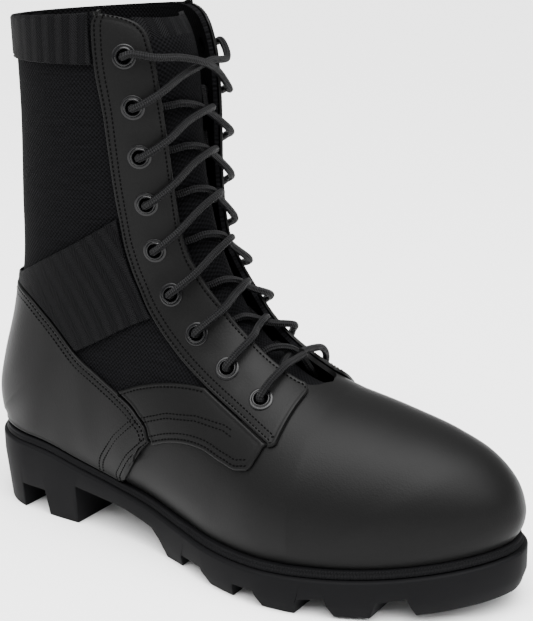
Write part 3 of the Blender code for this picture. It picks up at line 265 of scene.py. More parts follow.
edge_share = smooth(EDGE_ROWS, 1, HEEL_EDGE)
spring_share = smooth(SPRING_ROWS, 1)
plan_side = {OUTER: smooth(PLAN_ROWS, 1, BALL_WIDTH), INNER: smooth(PLAN_ROWS, 2, BALL_WIDTH)}
plan_ledge = smooth(PLAN_ROWS, 3)
front_x = smooth(BODY_ROWS, 1)
front_z = smooth(BODY_ROWS, 2, BOOT_HEIGHT)
base_way = smooth(BODY_ROWS, 3)
wide = {OUTER: smooth(BODY_ROWS, 4, BALL_WIDTH), INNER: smooth(BODY_ROWS, 5, BALL_WIDTH)}
wide_at = smooth(BODY_ROWS, 6)
blunt_low = smooth(BODY_ROWS, 7)
blunt_high = smooth(BODY_ROWS, 8)
centre_y = smooth(BODY_ROWS, 9, BALL_WIDTH)
toe_x = smooth(TOE_ROWS, 1)
toe_z = smooth(TOE_ROWS, 2, BOOT_HEIGHT)
throat_half = smooth(THROAT_ROWS, 1, BALL_WIDTH)
stay_edge = smooth(in_metres(STAY_EDGE, "height", "along"), 1)
counter_edge = smooth(in_metres(COUNTER_EDGE, "along", "height"), 1)
web_top = smooth(in_metres(WEB_TOP, "along", "height"), 1)
web_low = smooth(in_metres(WEB_LOW, "along", "height"), 1)
patch_top = smooth(in_metres(PATCH_TOP, "along", "height"), 1)
patch_low = smooth(in_metres(PATCH_LOW, "along", "height"), 1)
eyelet_share = smooth(EYELET_LINE, 1)
BALL_X = along_to_x(TOE_ALONG)
HEEL_X = along_to_x(HEEL_ALONG)
TIP_Y = TOE_INWARD * BALL_WIDTH


def edge_z(x):
    """Height of the outsole's top edge."""
    return edge_share(x / SOLE_LENGTH + 0.5)


def tread_z(x):
    """Height of the tread's face."""
    return np.maximum(0.0, spring_share(x / SOLE_LENGTH + 0.5))


def feather_z(x):
    """Height of the upper's lower edge, on the welt."""
    return edge_z(x) + WELT_HEIGHT


def blunt(value, power):
    """Height of a blunt ellipse over its middle."""
    return np.maximum(0.0, 1.0 - np.abs(value) ** power) ** (1.0 / power)


def plan_half(x, side):
    """Half width of the outsole from the boot's long axis, at x between heel and ball."""
    return plan_side[side](x / SOLE_LENGTH + 0.5)


def ledge(x):
    return plan_ledge(x / SOLE_LENGTH + 0.5)


HEEL_RADIUS = HEEL_X - along_to_x(0.0)


def heel_base(angle, side):
    """Point of the feather line on the heel's curve: x and half width."""
    x = HEEL_X - (HEEL_RADIUS - ledge(HEEL_X)) * math.sin(angle)
    return x, (plan_half(HEEL_X, side) - ledge(HEEL_X)) * math.cos(angle)


def base_point(way, side):
    """Point of the feather line at a share of the way from the ball to the heel's back."""
    straight = BALL_X - HEEL_X
    bend = HEEL_RADIUS * math.pi / 2
    run = way * (straight + bend)
    if run <= straight:
        x = BALL_X - run
        return x, float(plan_half(x, side) - ledge(x))
    return heel_base(min(math.pi / 2, (run - straight) / HEEL_RADIUS), side)


back_x = smooth(((HEEL_STEP, heel_base(math.pi / 2, OUTER)[0] / SOLE_LENGTH + 0.5),)
                + tuple(row[:2] for row in BACK_ROWS), 1)
back_z = smooth(((HEEL_STEP, float(feather_z(heel_base(math.pi / 2, OUTER)[0])) / BOOT_HEIGHT),)
                + tuple((row[0], row[2]) for row in BACK_ROWS), 1, BOOT_HEIGHT)


def swell(share, side):
    """How much wider the section at the ball is than one that rises straight from its base."""
    share = np.minimum(share, 0.99)
    place = float(wide_at(1.0))
    low, high = float(blunt_low(1.0)), float(blunt_high(1.0))
    middle = side * float(centre_y(1.0))
    foot = float(plan_half(BALL_X, side) - ledge(BALL_X)) - middle
    half = float(wide[side](1.0)) - middle
    drop = float(blunt(foot / half, low))
    under = half * blunt(np.maximum(0.0, place - share) / place * drop, low)
    over = half * blunt(np.maximum(0.0, share - place) / (1 - place), high)
    return np.where(share < place, under, over) / (foot * blunt(share, high))


def half_section(step, side):
    """One side of a section as a fine line from its base, or the back, to the front."""
    if step < 1.0:
        turn = step * math.pi / 2
        front = (along_to_x(float(toe_x(step))), float(toe_z(step)))
        base = (BALL_X, float(feather_z(BALL_X)))
        foot = float(plan_half(BALL_X, side) - ledge(BALL_X))
        plan_at, plan_blunt = TOE_OUTER if side == OUTER else TOE_INNER
        flat, steep = math.cos(turn), math.sin(turn)
        middle = TIP_Y * flat + float(centre_y(1.0)) * steep
        high = plan_blunt * flat ** 2 + float(blunt_high(1.0)) * steep ** 2
        place = plan_at * flat
        half = (foot - side * middle) / float(blunt(place / (1 - place), high))
    else:
        front = (along_to_x(float(front_x(step))), float(front_z(step)))
        if step <= HEEL_STEP:
            x, foot = base_point(float(base_way(step)), side)
            base = (x, float(feather_z(x)))
        else:
            foot = 0.0
            base = (along_to_x(float(back_x(step))), float(back_z(step)))
        middle = float(centre_y(step))
        foot = max(0.0, foot - side * middle) if foot > 0 else 0.0
        high = float(blunt_high(step))
        place = float(wide_at(step))
        half = max(float(wide[side](step)) - side * middle, foot * 1.0001)
    if place <= 0:
        start = -place / (1 - place)
        turns = np.linspace(math.asin(start ** (high / 2)), math.pi / 2, HALF_POINTS)
        share = (np.sin(turns) ** (2 / high) - start) / (1 - start)
        out = half * np.maximum(0.0, np.cos(turns)) ** (2 / high)
        out = out * (1 + (swell(share, side) - 1) * steep)
    else:
        low = float(blunt_low(max(step, 1.0)))
        drop = float(blunt(min(1.0, foot / half), low))
        fall = np.linspace(math.asin(drop ** (low / 2)), 0.0, HALF_POINTS // 3, endpoint=False)
        climb = np.linspace(0.0, math.pi / 2, HALF_POINTS - HALF_POINTS // 3)
        share = np.concatenate((place - place / drop * np.sin(fall) ** (2 / low),
                                place + (1 - place) * np.sin(climb) ** (2 / high)))
        out = half * np.concatenate((np.maximum(0.0, np.cos(fall)) ** (2 / low),
                                     np.maximum(0.0, np.cos(climb)) ** (2 / high)))
    x = base[0] + share * (front[0] - base[0])
    z = base[1] + share * (front[1] - base[1])
    if step < 1.0:
        tip = (along_to_x(float(toe_x(0.0))), float(toe_z(0.0)))
        chord = base[1] + (x - base[0]) * (tip[1] - base[1]) / (tip[0] - base[0])
        z = z + (feather_z(x) - chord) * math.cos(turn) ** 4
    return np.stack((x, side * out + middle, z), axis=1)


_kept = {}


def line_of(step, side):
    """A half section with the length run along it at each of its points."""
    key = (round(float(step), 6), side)
    if key not in _kept:
        points = half_section(key[0], side)
        _kept[key] = (points, run_along(points))
    return _kept[key]


def point_at(step, side, run):
    """Place on a half section at a length along it, or several at several lengths."""
    points, length = line_of(step, side)
    return placed(run, length, points)


def run_where(step, side, test):
    """Length along a half section at which a test first turns from below to above zero."""
    points, length = line_of(step, side)
    value = test(points)
    if value[0] >= 0:
        return 0.0
    above = np.nonzero(value >= 0)[0]
    if len(above) == 0:
        return float(length[-1])
    i = above[0]
    part = value[i - 1] / (value[i - 1] - value[i])
    return float(length[i - 1] + part * (length[i] - length[i - 1]))


def full_run(step, side):
    return float(line_of(step, side)[1][-1])


def run_out_to(step, side, half):
    """Length along a half section to the last place that lies this far from the middle."""
    points, length = line_of(step, side)
    out = side * (points[:, 1] - float(centre_y(step)))
    last = np.nonzero(out >= half)[0][-1]
    part = (out[last] - half) / (out[last] - out[last + 1])
    return float(length[last] + part * (length[last + 1] - length[last]))


def throat_run(step, side):
    """Length along a half section to the throat's edge, or to the ridge where it is closed."""
    opening = float(throat_half(step)) if step > THROAT_ROWS[0][0] else 0.0
    if opening <= 0:
        return full_run(step, side)
    return run_out_to(step, side, opening)


def behind_stay(points):
    """Test for run_where: how far points lie in front of the eyestay's rear edge."""
    return points[:, 0] - stay_edge(points[:, 2])


def stay_run(step, side):
    """Length along a half section to the eyestay's rear edge."""
    low = STAY_EDGE[0]
    if step < 1.29:
        return run_where(step, side, lambda points: points[:, 2] - low[0] * BOOT_HEIGHT)
    return run_where(step, side, behind_stay)


def normal_at(step, side, run):
    """Outward direction of the form."""
    small = 0.01
    near = 0.0008
    a = point_at(step, side, run - near)
    b = point_at(step, side, run + near)
    c = point_at(step - small, side, run * full_run(step - small, side) / full_run(step, side))
    d = point_at(step + small, side, run * full_run(step + small, side) / full_run(step, side))
    out = np.cross(b - a, d - c)
    out = out / np.linalg.norm(out)
    return out if out[1] * side > 0 else -out


def edge_line(edge, first, last, rise=0.0, spacing=FINE):
    """Points of an edge, in the side view, from one place along the boot to another."""
    count = max(2, round(abs(last - first) / spacing) + 1)
    return [(float(x), float(edge(x)) + rise) for x in np.linspace(first, last, count)]


def where_edges_meet(upper_edge, lower_edge, first, last):
    """Place along the boot where one edge, given by height, crosses another."""
    x = np.linspace(first, last, 400)
    apart = np.array([upper_edge(value) - lower_edge(value) for value in x])
    turn = np.nonzero(apart[:-1] * apart[1:] <= 0)[0][0]
    return float(x[turn])


def stay_line(low, high):
    """Points of the eyestay's rear edge, a seam's gap behind it."""
    count = max(2, round(abs(high - low) / FINE) + 1)
    return [(float(stay_edge(z)) - SEAM_GAP, float(z)) for z in np.linspace(low, high, count)]


def stay_height(edge, first, last):
    """Height at which an edge of a panel reaches the eyestay."""
    x = np.linspace(first, last, 400)
    apart = np.array([stay_edge(edge(value)) - SEAM_GAP - value for value in x])
    turn = np.nonzero(apart <= 0)[0][0]
    return float(x[turn]), float(edge(x[turn]))


def clear_of_counter(x):
    """The heel counter's top edge, moved out by a seam's gap."""
    return counter_edge(x - SEAM_GAP) + SEAM_GAP


def counter_corners():
    behind = along_to_x(-0.02)
    tail = along_to_x(TAIL[0][0])
    low = along_to_x(TAIL[-1][0])
    corners = edge_line(counter_edge, behind, tail)
    corners += [(along_to_x(along), height * BOOT_HEIGHT) for along, height in TAIL[1:-1]]
    corners += edge_line(feather_z, low, along_to_x(0.0), LIFT)
    corners.append((behind, float(feather_z(along_to_x(0.0))) + LIFT))
    return corners


def web_corners():
    behind = along_to_x(-0.02)
    high_x, high_z = stay_height(web_top, along_to_x(0.25), along_to_x(0.45))
    low_x, low_z = stay_height(web_low, along_to_x(0.30), along_to_x(0.50))
    start = where_edges_meet(web_low, clear_of_counter, along_to_x(0.20), along_to_x(0.30))
    corners = edge_line(web_top, behind, high_x)
    corners += stay_line(high_z, low_z)[1:-1]
    corners += edge_line(web_low, low_x, start)
    corners += edge_line(clear_of_counter, start, behind)[1:]
    return corners


def patch_corners():
    high_x, high_z = stay_height(patch_top, along_to_x(0.42), along_to_x(0.62))
    low_z = STAY_EDGE[0][0] * BOOT_HEIGHT
    start = where_edges_meet(patch_top, clear_of_counter, along_to_x(0.30), along_to_x(0.40))
    end = where_edges_meet(patch_low, clear_of_counter, along_to_x(0.40), along_to_x(0.43))
    corners = edge_line(patch_top, start, high_x)
    corners += stay_line(high_z, low_z + SEAM_GAP)[1:]
    corners += edge_line(patch_low, along_to_x(PATCH_LOW[-1][0]), end)
    corners += edge_line(clear_of_counter, end, start)[1:-1]
    return corners


def collar_corners():
    low = BOOT_HEIGHT - COLLAR_TAPE
    high = BOOT_HEIGHT * 1.1
    behind = along_to_x(-0.02)
    corners = [(behind, high), (float(stay_edge(BOOT_HEIGHT)) - SEAM_GAP, high)]
    corners += stay_line(BOOT_HEIGHT, low)
    corners.append((behind, low))
    return corners


def stay_limits(step, side):
    """From the eyestay's rear edge to the throat's."""
    high = throat_run(step, side)
    if step < STAY_FOOT:
        points, length = line_of(step, side)
        out = side * (points[:, 1] - float(centre_y(step)))
        reach = STAY_END[1] * BALL_WIDTH
        high = min(high, float(length[np.nonzero(out >= reach)[0][-1]]))
    low = stay_run(step, side)
    start, inward = STAY_ROUND
    if step > start:
        low = low + inward * ((step - start) / (TOP_STEP - start)) ** 3
    return low, high


def unit(rows):
    """Directions of length one."""
    return rows / np.linalg.norm(rows, axis=1)[:, None]


def outline(inset):
    """Closed line in plan at a distance inside the outsole's edge, as pairs at like places.

    Gives two lists, for the outer and the inner side, from the heel's back to the toe's tip.
    """
    round_heel, waist, round_toe = PLAN_COUNTS
    heel_turns = np.linspace(math.pi / 2, 0.0, round_heel)[:-1]
    middle = np.linspace(HEEL_X, BALL_X, waist)
    toe_turns = np.linspace(0.0, math.pi / 2, round_toe)[1:]
    tip = (along_to_x(1.0), TIP_Y)
    lines = {}
    for side in (OUTER, INNER):
        points = [(HEEL_X - HEEL_RADIUS * math.sin(turn), side * plan_half(HEEL_X, side) * math.cos(turn))
                  for turn in heel_turns]
        points += [(x, side * plan_half(x, side)) for x in middle]
        place, power = TOE_OUTER if side == OUTER else TOE_INNER
        start = -place / (1 - place)
        foot = plan_half(BALL_X, side) - side * TIP_Y
        half = foot / blunt(start, power)
        first = math.asin(start ** (power / 2))
        for turn in toe_turns:
            angle = first + (math.pi / 2 - first) * turn / (math.pi / 2)
            share = (math.sin(angle) ** (2 / power) - start) / (1 - start)
            out = half * max(0.0, math.cos(angle)) ** (2 / power)
            points.append((BALL_X + share * (tip[0] - BALL_X), TIP_Y + side * out))
        lines[side] = np.array([(float(x), float(y)) for x, y in points])
    loop = np.concatenate((lines[OUTER], lines[INNER][-2:0:-1]))
    ahead = np.roll(loop, -1, axis=0) - loop
    behind = loop - np.roll(loop, 1, axis=0)
    along = unit(unit(ahead) + unit(behind))
    inward = np.stack((-along[:, 1], along[:, 0]), axis=1)
    depth = np.array([inset(point[0]) for point in loop])
    loop = loop + inward * depth[:, None]
    n = len(lines[OUTER])
    return loop[:n], np.concatenate((loop[:1], loop[:n - 2:-1]))


def raised(lines, height):
    """Side lines in plan lifted to a height that follows the boot."""
    return [[(x, y, float(height(x))) for x, y in line] for line in lines]


def prism(work, corners, low, high):
    """Adds a prism to a cutter: corners in the side view, from one y to another."""
    front = [work.verts.new((x, low, z)) for x, z in corners]
    back = [work.verts.new((x, high, z)) for x, z in corners]
    work.faces.new(front)
    work.faces.new(back[::-1])
    for i in range(len(front)):
        j = (i + 1) % len(front)
        work.faces.new((front[j], front[i], back[i], back[j]))


def lug_gap(first, first_top, last_top, last, depth_first, depth_last):
    """Corners of the gap between two lugs in the side view, open below the floor."""
    x = [along_to_x(share) for share in (first, first_top, last_top, last)]
    rises = (0.0, LUG_DEPTH * depth_first, LUG_DEPTH * depth_last, 0.0)
    line = [(place, float(tread_z(place)) + rise) for place, rise in zip(x, rises)]
    return [(x[0], -BEYOND), *line, (x[3], -BEYOND)]


def both_sides(work, corners, near, far):
    """The same prism on the outer and the inner side of the boot."""
    for side in (OUTER, INNER):
        prism(work, corners, *sorted((side * near, side * far)))


def lacing_edge(step, side):
    """Length along a half section to the throat's edge, as if its top were not rounded off."""
    opening = min(float(throat_half(step)), float(throat_half(LAST_STRAIGHT)))
    return run_out_to(step, side, opening)


def eyelet_run(step, side, toward=0.0):
    """Length along a half section to the middle of the eyestay, or on towards the throat."""
    edge = lacing_edge(step, side)
    middle = edge - (edge - stay_run(step, side)) * float(eyelet_share(step))
    return middle + toward * (edge - middle)


def eyelet_places(side):
    """Centres of the eyelets' row: (point on the form, outward direction, step) from the top."""
    steps = np.linspace(TOP_STEP, 1.25, 400)
    line = []
    for step in steps:
        line.append(point_at(step, side, eyelet_run(step, side)))
    line = np.array(line)
    run = run_along(line)
    places = []
    for i in range(EYELET_COUNT):
        step = float(np.interp(FIRST_EYELET + i * EYELET_PITCH, run, steps))
        along = eyelet_run(step, side)
        places.append((point_at(step, side, along), normal_at(step, side, along), step))
    return places


def frame_at(point, out):
    """Placing matrix with its Z along a direction and its X level."""
    z = Vector(out).normalized()
    x = Vector((0, 0, 1)).cross(z).normalized()
    y = z.cross(x)
    turn = Matrix((x, y, z)).transposed().to_4x4()
    return Matrix.Translation(Vector(point)) @ turn


SEAT = LAYER_GAP + OVERLAY_WALL + FIT_GAP  # height of the eyelets' flanges over the form


def smooth_line(points, spacing):
    """Points along a smooth curve through the given ones, no further apart than a spacing."""
    points = np.array(points, float)
    gaps = np.linalg.norm(np.diff(points, axis=0), axis=1)
    run = np.concatenate(((0.0,), np.cumsum(gaps ** 0.5)))
    rows = [(t, *point) for t, point in zip(run, points)]
    curves = [smooth(rows, 1 + axis) for axis in range(3)]
    places = [0.0]
    for first, last, gap in zip(run, run[1:], gaps):
        count = max(1, round(gap / spacing))
        places.extend(np.linspace(first, last, count + 1)[1:])
    return np.stack([curve(np.array(places)) for curve in curves], axis=1)


# Finish sizes that aren't in the solids
UPPER_GROUPS = ((0.0, 1.0, 64), (1.0, HEEL_STEP, 88), (HEEL_STEP, TOP_STEP, 88))
UPPER_COLUMNS = 76
PER_STEP = 56              # rows of an overlay for each whole step of the form
EDGE_PLACES = np.array((0.0, 0.12, 0.30, 0.60, 1.0, 1.5, 2.0, 2.6, 3.4)) * MM
# Heights of an overlay at those places: a turned edge and the seam's trough, and a woven edge
LEATHER_EDGE = (0.42, 0.70, 0.90, 1.02, 1.07, 1.04, 0.94, 0.97, 1.0)
WEB_EDGE = (0.62, 0.84, 0.95, 1.0, 1.0, 1.0, 1.0, 1.0, 1.0)
OVERLAY_TOP = LAYER_GAP + OVERLAY_WALL
STITCH_LENGTH = 1.55 * MM
STITCH_WIDTH = 0.80 * MM
RIB_FROM = -0.012          # the welt's ribs start here and run round the toe
LEATHER_LINE = 0.080       # quarters are leather below this height, under the instep patch
VAMP_X = 0.028             # and the vamp ahead of this place

WELD = 0.00003             # points nearer to each other than this become one
FINE_WELD = 0.00001
LEAST_WALL = 0.0002
RIDGE_GAP = 0.0012         # directions are taken this far from a section's ends
WEB_SLOPE = 27.8           # degrees between the ankle web and level
TONGUE_TAPE = 10 * MM
TONGUE_COLUMNS = 22
SIDES = ((OUTER, "outer"), (INNER, "inner"))

# Rows of stitches: each row's distance from the edge that it follows
STAY_REAR_SEAMS = (2.0 * MM, 5.0 * MM)
STAY_THROAT_SEAM = 2.3 * MM
COUNTER_SEAMS = (2.2 * MM, 5.0 * MM)
TAIL_SEAMS = (-2.2 * MM, -4.6 * MM, -14.0 * MM, -16.6 * MM)
PATCH_HIGH_SEAMS = (-2.0 * MM,)
PATCH_ROW_SEAMS = (0.0, -2.3 * MM)
PATCH_LOW_SEAMS = (2.0 * MM, 4.6 * MM)
COUNTER_SEAM_SPAN = (0.078, 0.418)  # along
PATCH_HIGH_SPAN = (0.345, 0.512)
PATCH_LOW_SPAN = (0.425, 0.625)
PATCH_ROW = (  # along and up from the boot's middle: the instep leather's inner double row
    (-31 * MM, 73.2 * MM), (-14.8 * MM, 79 * MM), (3.5 * MM, 81.2 * MM), (20.7 * MM, 79.8 * MM),
    (25.8 * MM, 78 * MM),
)

# The lace between the throat's edges, which it crosses lower than the solid lace does: how far up it
# lies, from one eyelet to the next, at the edge it starts from, at a quarter, in the middle, at three
# quarters and at the other edge
LACE_INWARD = (0.05, 0.18, 0.27, 0.36, 0.42)   # from the outer side to the inner side
LACE_OUTWARD = (-0.08, 0.20, 0.38, 0.58, 0.73)
LACE_TOP_INWARD = (0.08, 0.22, 0.33, 0.45, 0.55)
LACE_TOP_OUTWARD = (-0.12, 0.20, 0.40, 0.62, 0.80)
LACE_SIDES = 16
LACE_SPACING = 0.6 * MM

# Camera, solved from the photo's outline, eyelets and sole, for a picture of 533 x 621
CAMERA_TARGET = Vector((0.01306, 0.00706, 0.12369))
CAMERA_DISTANCE = 0.65022
CAMERA_TURNS = (34.262, 17.312, -1.04)  # azimuth, elevation, roll in degrees
CAMERA_LENS = 75.77


def linear(code):
    """Linear red, green and blue of an sRGB hex colour."""
    shares = [int(code[i:i + 2], 16) / 255 for i in (0, 2, 4)]
    return tuple(s / 12.92 if s <= 0.04045 else ((s + 0.055) / 1.055) ** 2.4 for s in shares)


def length_of(name, description, size):
    """A property that holds a length."""
    return bpy.props.FloatProperty(name=name, description=description, default=size, unit="LENGTH")


def colour_of(name, description, code):
    """A property that holds a colour, given as an sRGB hex code."""
    return bpy.props.FloatVectorProperty(
        name=name, description=description, subtype="COLOR", default=linear(code))


class BootSizes(bpy.types.PropertyGroup):
    """Sizes of the boot's finish."""

    stitch_pitch: length_of("Stitch pitch", "From one stitch to the next", 2.15 * MM)
    weave_pitch: length_of("Canvas thread", "Spacing of the canvas's threads", 1.1 * MM)
    tape_column: length_of("Webbing column", "Width of a herringbone column", 4.0 * MM)
    tape_pitch: length_of("Webbing thread", "Spacing of the webbing's threads", 1.25 * MM)
    grain: length_of("Leather grain", "Width of the leather's pores", 0.85 * MM)
    rib_pitch: length_of("Welt rib", "From one rib of the welt to the next", 1.5 * MM)
    braid_pitch: length_of("Lace braid", "Length of one crossing of the braid", 2.2 * MM)


class BootColours(bpy.types.PropertyGroup):
    """Colours of the boot's materials."""

    leather: colour_of("Leather", "Colour of the leather", "090909")
    canvas: colour_of("Canvas", "Colour of the canvas", "070708")
    webbing: colour_of("Webbing", "Colour of the webbing", "070708")
    rubber: colour_of("Rubber", "Colour of the sole", "080809")
    enamel: colour_of("Enamel", "Colour of the eyelets", "050506")
    lace: colour_of("Lace", "Colour of the lace", "0B0B0C")
    thread: colour_of("Thread", "Colour of the stitches", "020202")
    felt: colour_of("Felt", "Colour of the insole", "2E2C2A")
    floor: colour_of("Floor", "Colour of the studio floor", "F4F4F4")


def add(tree, kind, inputs=None, **options):
    """Adds a node with its options; each input is fed by a socket or set to a value."""
    node = tree.nodes.new("ShaderNode" + kind)
    for name, value in options.items():
        setattr(node, name, value)
    for name, value in (inputs or {}).items():
        if isinstance(value, bpy.types.NodeSocket):
            tree.links.new(value, node.inputs[name])
        else:
            node.inputs[name].default_value = value
    return node


def finish_of(name, colour, roughness, coat=0.0, sheen=0.0, specular=0.5):
    """A new material with its Principled shader's plain values set."""
    made = bpy.data.materials.new(name)
    made.use_nodes = True
    shader = made.node_tree.nodes["Principled BSDF"]
    values = {"Base Color": (*colour, 1.0), "Roughness": roughness, "Coat Weight": coat,
              "Coat Roughness": 0.35, "Sheen Weight": sheen, "Specular IOR Level": specular}
    for socket, value in values.items():
        shader.inputs[socket].default_value = value
    return made, made.node_tree, shader


def tinted(tree, shader, amount, mask):
    """Lets a mask from 0 to 1 lighten and darken the shader's colour by a share."""
    colour = tuple(shader.inputs["Base Color"].default_value)
    dark = tuple(c * (1 - amount) for c in colour[:3]) + (1.0,)
    light = tuple(c * (1 + amount) for c in colour[:3]) + (1.0,)
    mix = add(tree, "Mix", {0: mask, 6: dark, 7: light}, data_type="RGBA")
    tree.links.new(mix.outputs[2], shader.inputs["Base Color"])


def bumped(tree, shader, height, distance, strength):
    bump = add(tree, "Bump", {"Height": height, "Distance": distance, "Strength": strength})
    tree.links.new(bump.outputs[0], shader.inputs["Normal"])


def varied_roughness(tree, shader, mask, low, high):
    spread = add(tree, "MapRange", {0: mask, 3: low, 4: high})
    tree.links.new(spread.outputs[0], shader.inputs["Roughness"])


def grained_leather():
    """Black side leather, pigmented and rolled: a fine even grain under a semi-matt finish coat."""
    sizes, colours = bpy.context.scene.boot_sizes, bpy.context.scene.boot_colours
    made, tree, shader = finish_of("side_leather", colours.leather, 0.45, coat=0.01, specular=0.07)
    place = add(tree, "TexCoord").outputs["Object"]
    pores = add(tree, "TexVoronoi", {"Vector": place, "Scale": 1 / sizes.grain, "Randomness": 1.0})
    fine = add(tree, "TexNoise", {"Vector": place, "Scale": 0.7 / sizes.grain, "Detail": 3.0})
    cloud = add(tree, "TexNoise", {"Vector": place, "Scale": 34.0, "Detail": 3.0})
    height = add(tree, "Math", {0: pores.outputs["Distance"], 1: fine.outputs[0]}, operation="ADD")
    bumped(tree, shader, height.outputs[0], 0.07 * MM, 0.55)
    varied_roughness(tree, shader, cloud.outputs[0], 0.40, 0.50)
    tinted(tree, shader, 0.10, fine.outputs[0])
    return made


def canvas_duck():
    """Cotton and nylon duck in a plain weave: each thread shows as a small round bead."""
    sizes, colours = bpy.context.scene.boot_sizes, bpy.context.scene.boot_colours
    made, tree, shader = finish_of("canvas_duck", colours.canvas, 0.88, specular=0.035)
    cloth = add(tree, "UVMap", uv_map="UVMap").outputs[0]
    turns = add(tree, "VectorMath", {0: cloth, 3: math.pi / sizes.weave_pitch}, operation="SCALE")
    waves = add(tree, "VectorMath", {0: turns.outputs[0]}, operation="SINE")
    split = add(tree, "SeparateXYZ", {0: waves.outputs[0]})
    beads = add(tree, "Math", {0: split.outputs[0], 1: split.outputs[1]}, operation="MULTIPLY")
    slubs = add(tree, "VectorMath", {0: cloth, 1: (60.0, 900.0, 1.0)}, operation="MULTIPLY")
    uneven = add(tree, "TexNoise", {"Vector": slubs.outputs[0], "Scale": 1.0, "Detail": 2.0})
    height = add(tree, "Math", {0: beads.outputs[0], 1: 0.5, 2: uneven.outputs[0]}, operation="MULTIPLY_ADD")
    bumped(tree, shader, height.outputs[0], 0.30 * MM, 1.0)
    # Painted shade and highlight: the colour follows the weave's relief, lighter on each bead's top and
    # darker between the threads.
    painted_relief_shade = add(tree, "Math", {0: beads.outputs[0], 1: 0.60, 2: uneven.outputs[0]}, operation="MULTIPLY_ADD")
    tinted(tree, shader, 0.75, painted_relief_shade.outputs[0])
    return made


def herringbone_webbing():
    """Woven nylon webbing: columns of slanting threads that turn back at each column's edge."""
    sizes, colours = bpy.context.scene.boot_sizes, bpy.context.scene.boot_colours
    made, tree, shader = finish_of("nylon_webbing", colours.webbing, 0.62, specular=0.04)
    split = add(tree, "SeparateXYZ", {0: add(tree, "UVMap", uv_map="UVMap").outputs[0]})
    fold = add(tree, "Math", {0: split.outputs[0], 1: sizes.tape_column}, operation="PINGPONG")
    run = add(tree, "Math", {0: split.outputs[1], 1: fold.outputs[0]}, operation="ADD")
    turns = add(tree, "Math", {0: run.outputs[0], 1: 2 * math.pi / sizes.tape_pitch}, operation="MULTIPLY")
    thread = add(tree, "Math", {0: turns.outputs[0]}, operation="SINE")
    border = add(tree, "Math", {0: split.outputs[0], 1: math.pi / sizes.tape_column}, operation="MULTIPLY")
    rib = add(tree, "Math", {0: border.outputs[0]}, operation="COSINE")
    hollow = add(tree, "Math", {0: rib.outputs[0]}, operation="ABSOLUTE")
    height = add(tree, "Math", {0: hollow.outputs[0], 1: -0.7, 2: thread.outputs[0]},
                 operation="MULTIPLY_ADD")
    bumped(tree, shader, height.outputs[0], 0.20 * MM, 0.9)
    # Painted shade and highlight: the colour follows the relief, darker in the hollows at the columns' edges
    # and between the threads, lighter on the threads' crowns.
    painted_relief_shade = add(tree, "MapRange", {0: height.outputs[0], 1: -1.7, 2: 1.0, 3: 0.0, 4: 1.0})
    tinted(tree, shader, 0.75, painted_relief_shade.outputs[0])
    return made


def moulded_rubber(name, grit):
    """Black vulcanised rubber out of a blasted mould: dull, with a fine even grit."""
    colours = bpy.context.scene.boot_colours
    made, tree, shader = finish_of(name, colours.rubber, 0.66, specular=0.055)
    place = add(tree, "TexCoord").outputs["Object"]
    fine = add(tree, "TexNoise", {"Vector": place, "Scale": 1 / grit, "Detail": 4.0})
    cloud = add(tree, "TexNoise", {"Vector": place, "Scale": 40.0, "Detail": 2.0})
    bumped(tree, shader, fine.outputs[0], 0.06 * MM, 0.5)
    varied_roughness(tree, shader, cloud.outputs[0], 0.60, 0.74)
    tinted(tree, shader, 0.12, fine.outputs[0])
    return made


def black_enamel():
    """Stoved enamel on rolled brass: smooth and glossy."""
    colours = bpy.context.scene.boot_colours
    made, tree, shader = finish_of("stoved_enamel", colours.enamel, 0.24, specular=0.20)
    place = add(tree, "TexCoord").outputs["Object"]
    cloud = add(tree, "TexNoise", {"Vector": place, "Scale": 500.0, "Detail": 2.0})
    varied_roughness(tree, shader, cloud.outputs[0], 0.16, 0.30)
    bumped(tree, shader, cloud.outputs[0], 0.02 * MM, 0.3)
    return made


def braided_cord():
    """Round braided polyester: crossing strands in relief, a slight specular sheen on each, and painted shade
    and highlight that make each strand lighter on its crown and darker in the grooves.
    """
    sizes, colours = bpy.context.scene.boot_sizes, bpy.context.scene.boot_colours
    made, tree, shader = finish_of("braided_polyester", colours.lace, 0.60, specular=0.10)
    split = add(tree, "SeparateXYZ", {0: add(tree, "UVMap", uv_map="UVMap").outputs[0]})
    along = add(tree, "Math", {0: split.outputs[1], 1: 2 * math.pi / sizes.braid_pitch}, operation="MULTIPLY")
    around = add(tree, "Math", {0: split.outputs[0], 1: 6 * math.pi}, operation="MULTIPLY")
    left = add(tree, "Math", {0: along.outputs[0], 1: around.outputs[0]}, operation="ADD")
    right = add(tree, "Math", {0: along.outputs[0], 1: around.outputs[0]}, operation="SUBTRACT")
    one = add(tree, "Math", {0: left.outputs[0]}, operation="SINE")
    two = add(tree, "Math", {0: right.outputs[0]}, operation="SINE")
    height = add(tree, "Math", {0: one.outputs[0], 1: two.outputs[0]}, operation="MULTIPLY")
    bumped(tree, shader, height.outputs[0], 0.35 * MM, 1.0)
    # Painted shade and highlight: the colour follows the braid's relief, lighter on the strands' crowns,
    # darker in the grooves.
    painted_relief_shade = add(tree, "MapRange", {0: height.outputs[0], 1: -1.0, 2: 1.0, 3: 0.0, 4: 1.0})
    tinted(tree, shader, 0.85, painted_relief_shade.outputs[0])
    return made


def wool_felt():
    """Needled felt board: matt, with short fibres."""
    colours = bpy.context.scene.boot_colours
    made, tree, shader = finish_of("needled_felt", colours.felt, 0.95, sheen=0.3, specular=0.2)
    place = add(tree, "TexCoord").outputs["Object"]
    fibres = add(tree, "TexNoise", {"Vector": place, "Scale": 1400.0, "Detail": 4.0, "Distortion": 1.5})
    bumped(tree, shader, fibres.outputs[0], 0.15 * MM, 0.7)
    tinted(tree, shader, 0.3, fibres.outputs[0])
    return made


